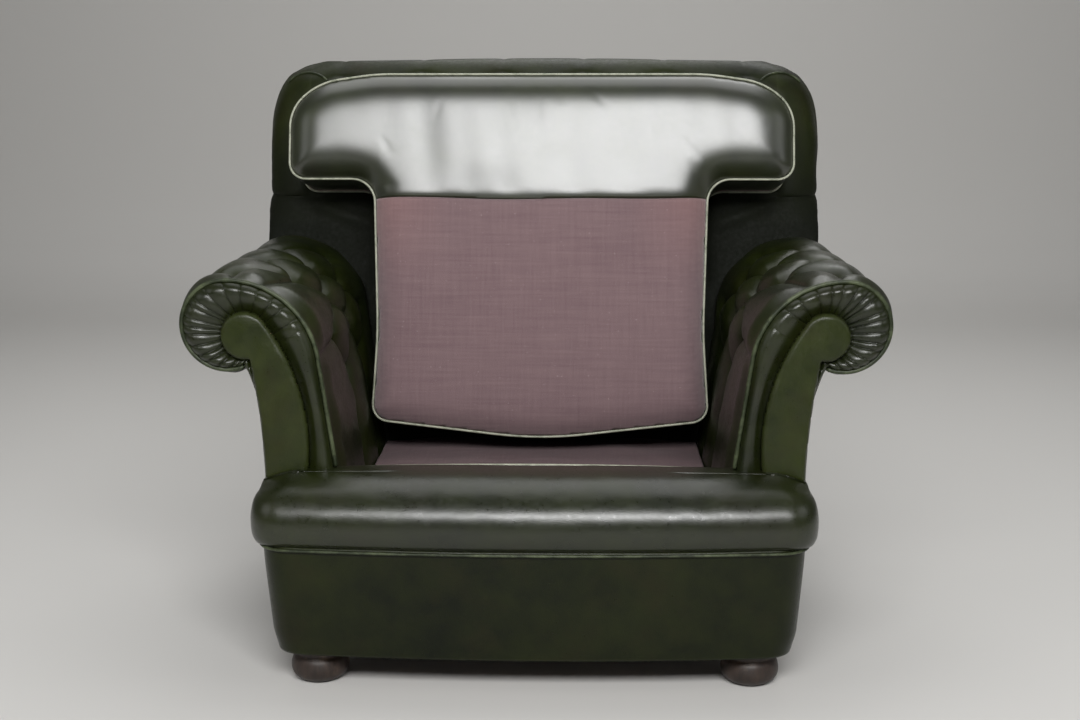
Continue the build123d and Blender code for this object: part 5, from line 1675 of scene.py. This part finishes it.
def line_underside():
    """Black cloth stretched under the base."""
    low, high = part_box("dust_cover")
    piece, u, v = field_grid("underside_cloth", 120, 110)
    x = low.x + u * (high.x - low.x)
    y = low.y + v * (high.y - low.y)
    edge = np.minimum(np.minimum(u, 1 - u), np.minimum(v, 1 - v))
    sag = 0.004 * ease(edge, 0.02, 0.4) + 0.0008 * waves(x, y, 13, 0.1) * ease(edge, 0, 0.06)
    z = np.full_like(x, high.z - 0.0004) - sag
    lay(piece, x, y, z)
    finish_skin(piece, (0, 0, -1), LINING_SKIN, "lining", ["dust_cover"])
    return piece


def finish_frame():
    """Timber, steel and webbing of the hidden frame."""
    others = dict.fromkeys(("foot_bolts", "seat_springs", "spring_clips"), "steel")
    others["back_webbing"] = "lining"
    for name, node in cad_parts.items():
        if not node.hide_render:
            node.data.materials.clear()
            node.data.materials.append(FINISHES[others.get(name, "timber")])


def dress_stage():
    """Pale floor and backdrop, soft studio light and the camera."""
    paper, tree, shader, _ = base_material("studio_paper")
    set_inputs(tree, shader, Base_Color=(0.62, 0.61, 0.59), Roughness=0.95)
    rows = 59
    profile = [(-4.5, 0.0), (0.0, 0.0), (2.6, 0.0), (3.6, 0.0), (3.9, 0.35), (3.9, 1.5), (3.9, 4.5)]
    sweep = smooth_line(profile, rows + 1)
    piece, u, v = field_grid("studio_sweep", 2, rows)
    lay(piece, (u * 2 - 1) * 7.0, *sweep[np.rint(v * rows).astype(int)].T)
    face_towards(piece, (0, -1, 1))
    bpy.ops.object.shade_smooth()
    piece.data.materials.append(paper)

    # name, place, aim, width, height and power of each lamp
    lamps = (
        ("key_panel", (0.35, -3.0, 2.24), (0.0, 0.1, 0.75), 1.9, 0.8, 100.0),
        ("left_panel", (-0.97, -3.0, 2.2), (0.0, 0.1, 0.75), 0.74, 0.8, 21.0),
        ("left_fill", (-3.1, -1.6, 1.9), (0.0, 0.0, 0.5), 1.6, 1.6, 9.0),
        ("right_panel", (3.0, -1.3, 2.0), (0.0, 0.0, 0.5), 1.6, 1.6, 9.0),
        ("top_panel", (0.0, 0.8, 3.1), (0.0, 0.3, 0.3), 3.2, 2.2, 34.0),
        ("rear_panel", (0.4, 2.9, 3.3), (0.0, 0.3, 0.6), 2.4, 1.2, 30.0),
    )
    for name, spot, aim, width, height, power in lamps:
        clear_selection()
        bpy.ops.object.light_add(type="AREA", location=spot)
        lamp = bpy.context.active_object
        lamp.name = name
        lamp.data.shape = "RECTANGLE"
        lamp.data.size = width
        lamp.data.size_y = height
        lamp.data.energy = power
        lamp.rotation_euler = (Vector(aim) - Vector(spot)).to_track_quat("-Z", "Y").to_euler()

    world = bpy.data.worlds.new("studio_air")
    bpy.context.scene.world = world
    world.use_nodes = True
    air = world.node_tree.nodes["Background"]
    set_inputs(world.node_tree, air, Color=(0.84, 0.83, 0.81), Strength=0.11)

    clear_selection()
    bpy.ops.object.camera_add(location=(0.061, -2.615, 0.934), rotation=(radians(90 - 10.6), 0, 0.023))
    camera = bpy.context.active_object
    camera.data.lens = 50
    camera.data.sensor_width = 36
    bpy.context.scene.camera = camera
    bpy.context.scene.view_settings.view_transform = "Standard"


class ARMCHAIR_OT_finishes(bpy.types.Operator):
    """Make the leather, cloth, welt, wood and steel finishes"""

    bl_idname = "armchair.finishes"
    bl_label = "Make finishes"

    def execute(self, context):
        make_finishes()
        return {"FINISHED"}


class ARMCHAIR_OT_arms(bpy.types.Operator):
    """Pad, button, gather, face and welt both arms"""

    bl_idname = "armchair.arms"
    bl_label = "Upholster arms"

    def execute(self, context):
        sizes = context.scene.chair_sizes
        for side in (-1, 1):
            pad_arm(side, sizes)
            arm_buttons(side, sizes)
            gather_arm(side)
            face_arm(side)
            welt_arm(side)
            clad_arm(side)
        return {"FINISHED"}


class ARMCHAIR_OT_base(bpy.types.Operator):
    """Cover the base and its front roll, lay the deck and line the underside"""

    bl_idname = "armchair.base"
    bl_label = "Cover base"

    def execute(self, context):
        clad_base()
        pad_lip()
        welt_lip()
        lay_deck()
        line_underside()
        return {"FINISHED"}


class ARMCHAIR_OT_back(bpy.types.Operator):
    """Pad the back and its wings, and cover its outside"""

    bl_idname = "armchair.back"
    bl_label = "Upholster back"

    def execute(self, context):
        pad_back(context.scene.chair_sizes)
        back_buttons(context.scene.chair_sizes)
        clad_back()
        return {"FINISHED"}


class ARMCHAIR_OT_cushion(bpy.types.Operator):
    """Stuff and welt the loose back cushion"""

    bl_idname = "armchair.cushion"
    bl_label = "Stuff cushion"

    def execute(self, context):
        stuff_cushion(context.scene.chair_sizes)
        return {"FINISHED"}


class ARMCHAIR_OT_feet(bpy.types.Operator):
    """Turn the four bun feet"""

    bl_idname = "armchair.feet"
    bl_label = "Turn feet"

    def execute(self, context):
        for name in ("front_left_foot", "front_right_foot", "rear_left_foot", "rear_right_foot"):
            low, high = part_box(name)
            turn_foot(name, (low.x + high.x) / 2, (low.y + high.y) / 2)
        return {"FINISHED"}


class ARMCHAIR_OT_frame(bpy.types.Operator):
    """Finish the timber, springs and webbing inside"""

    bl_idname = "armchair.frame"
    bl_label = "Finish frame"

    def execute(self, context):
        finish_frame()
        return {"FINISHED"}


class ARMCHAIR_OT_stage(bpy.types.Operator):
    """Set the floor, backdrop, lights and camera"""

    bl_idname = "armchair.stage"
    bl_label = "Set stage"

    def execute(self, context):
        dress_stage()
        return {"FINISHED"}


class ARMCHAIR_PT_panel(bpy.types.Panel):
    """Upholstery steps and their values"""

    bl_idname = "ARMCHAIR_PT_panel"
    bl_label = "Armchair"
    bl_space_type = "VIEW_3D"
    bl_region_type = "UI"
    bl_category = "Armchair"

    def draw(self, context):
        for group in (context.scene.chair_looks, context.scene.chair_sizes):
            for name in group.__annotations__:
                self.layout.prop(group, name)
        for step in STEPS:
            self.layout.operator(step.bl_idname)


STEPS = (
    ARMCHAIR_OT_finishes,
    ARMCHAIR_OT_arms,
    ARMCHAIR_OT_base,
    ARMCHAIR_OT_back,
    ARMCHAIR_OT_cushion,
    ARMCHAIR_OT_feet,
    ARMCHAIR_OT_frame,
    ARMCHAIR_OT_stage,
)
CLASSES = (ChairLooks, ChairSizes, *STEPS, ARMCHAIR_PT_panel)


def register():
    """Add the classes and the scene's values."""
    for entry in CLASSES:
        bpy.utils.register_class(entry)
    bpy.types.Scene.chair_looks = bpy.props.PointerProperty(type=ChairLooks)
    bpy.types.Scene.chair_sizes = bpy.props.PointerProperty(type=ChairSizes)


def unregister():
    """Take them out again."""
    del bpy.types.Scene.chair_sizes
    del bpy.types.Scene.chair_looks
    for entry in reversed(CLASSES):
        bpy.utils.unregister_class(entry)


def main():
    """Run every step in order."""
    register()
    bpy.ops.armchair.finishes()
    bpy.ops.armchair.arms()
    bpy.ops.armchair.base()
    bpy.ops.armchair.back()
    bpy.ops.armchair.cushion()
    bpy.ops.armchair.feet()
    bpy.ops.armchair.frame()
    bpy.ops.armchair.stage()


if __name__ == "__main__":
    main()
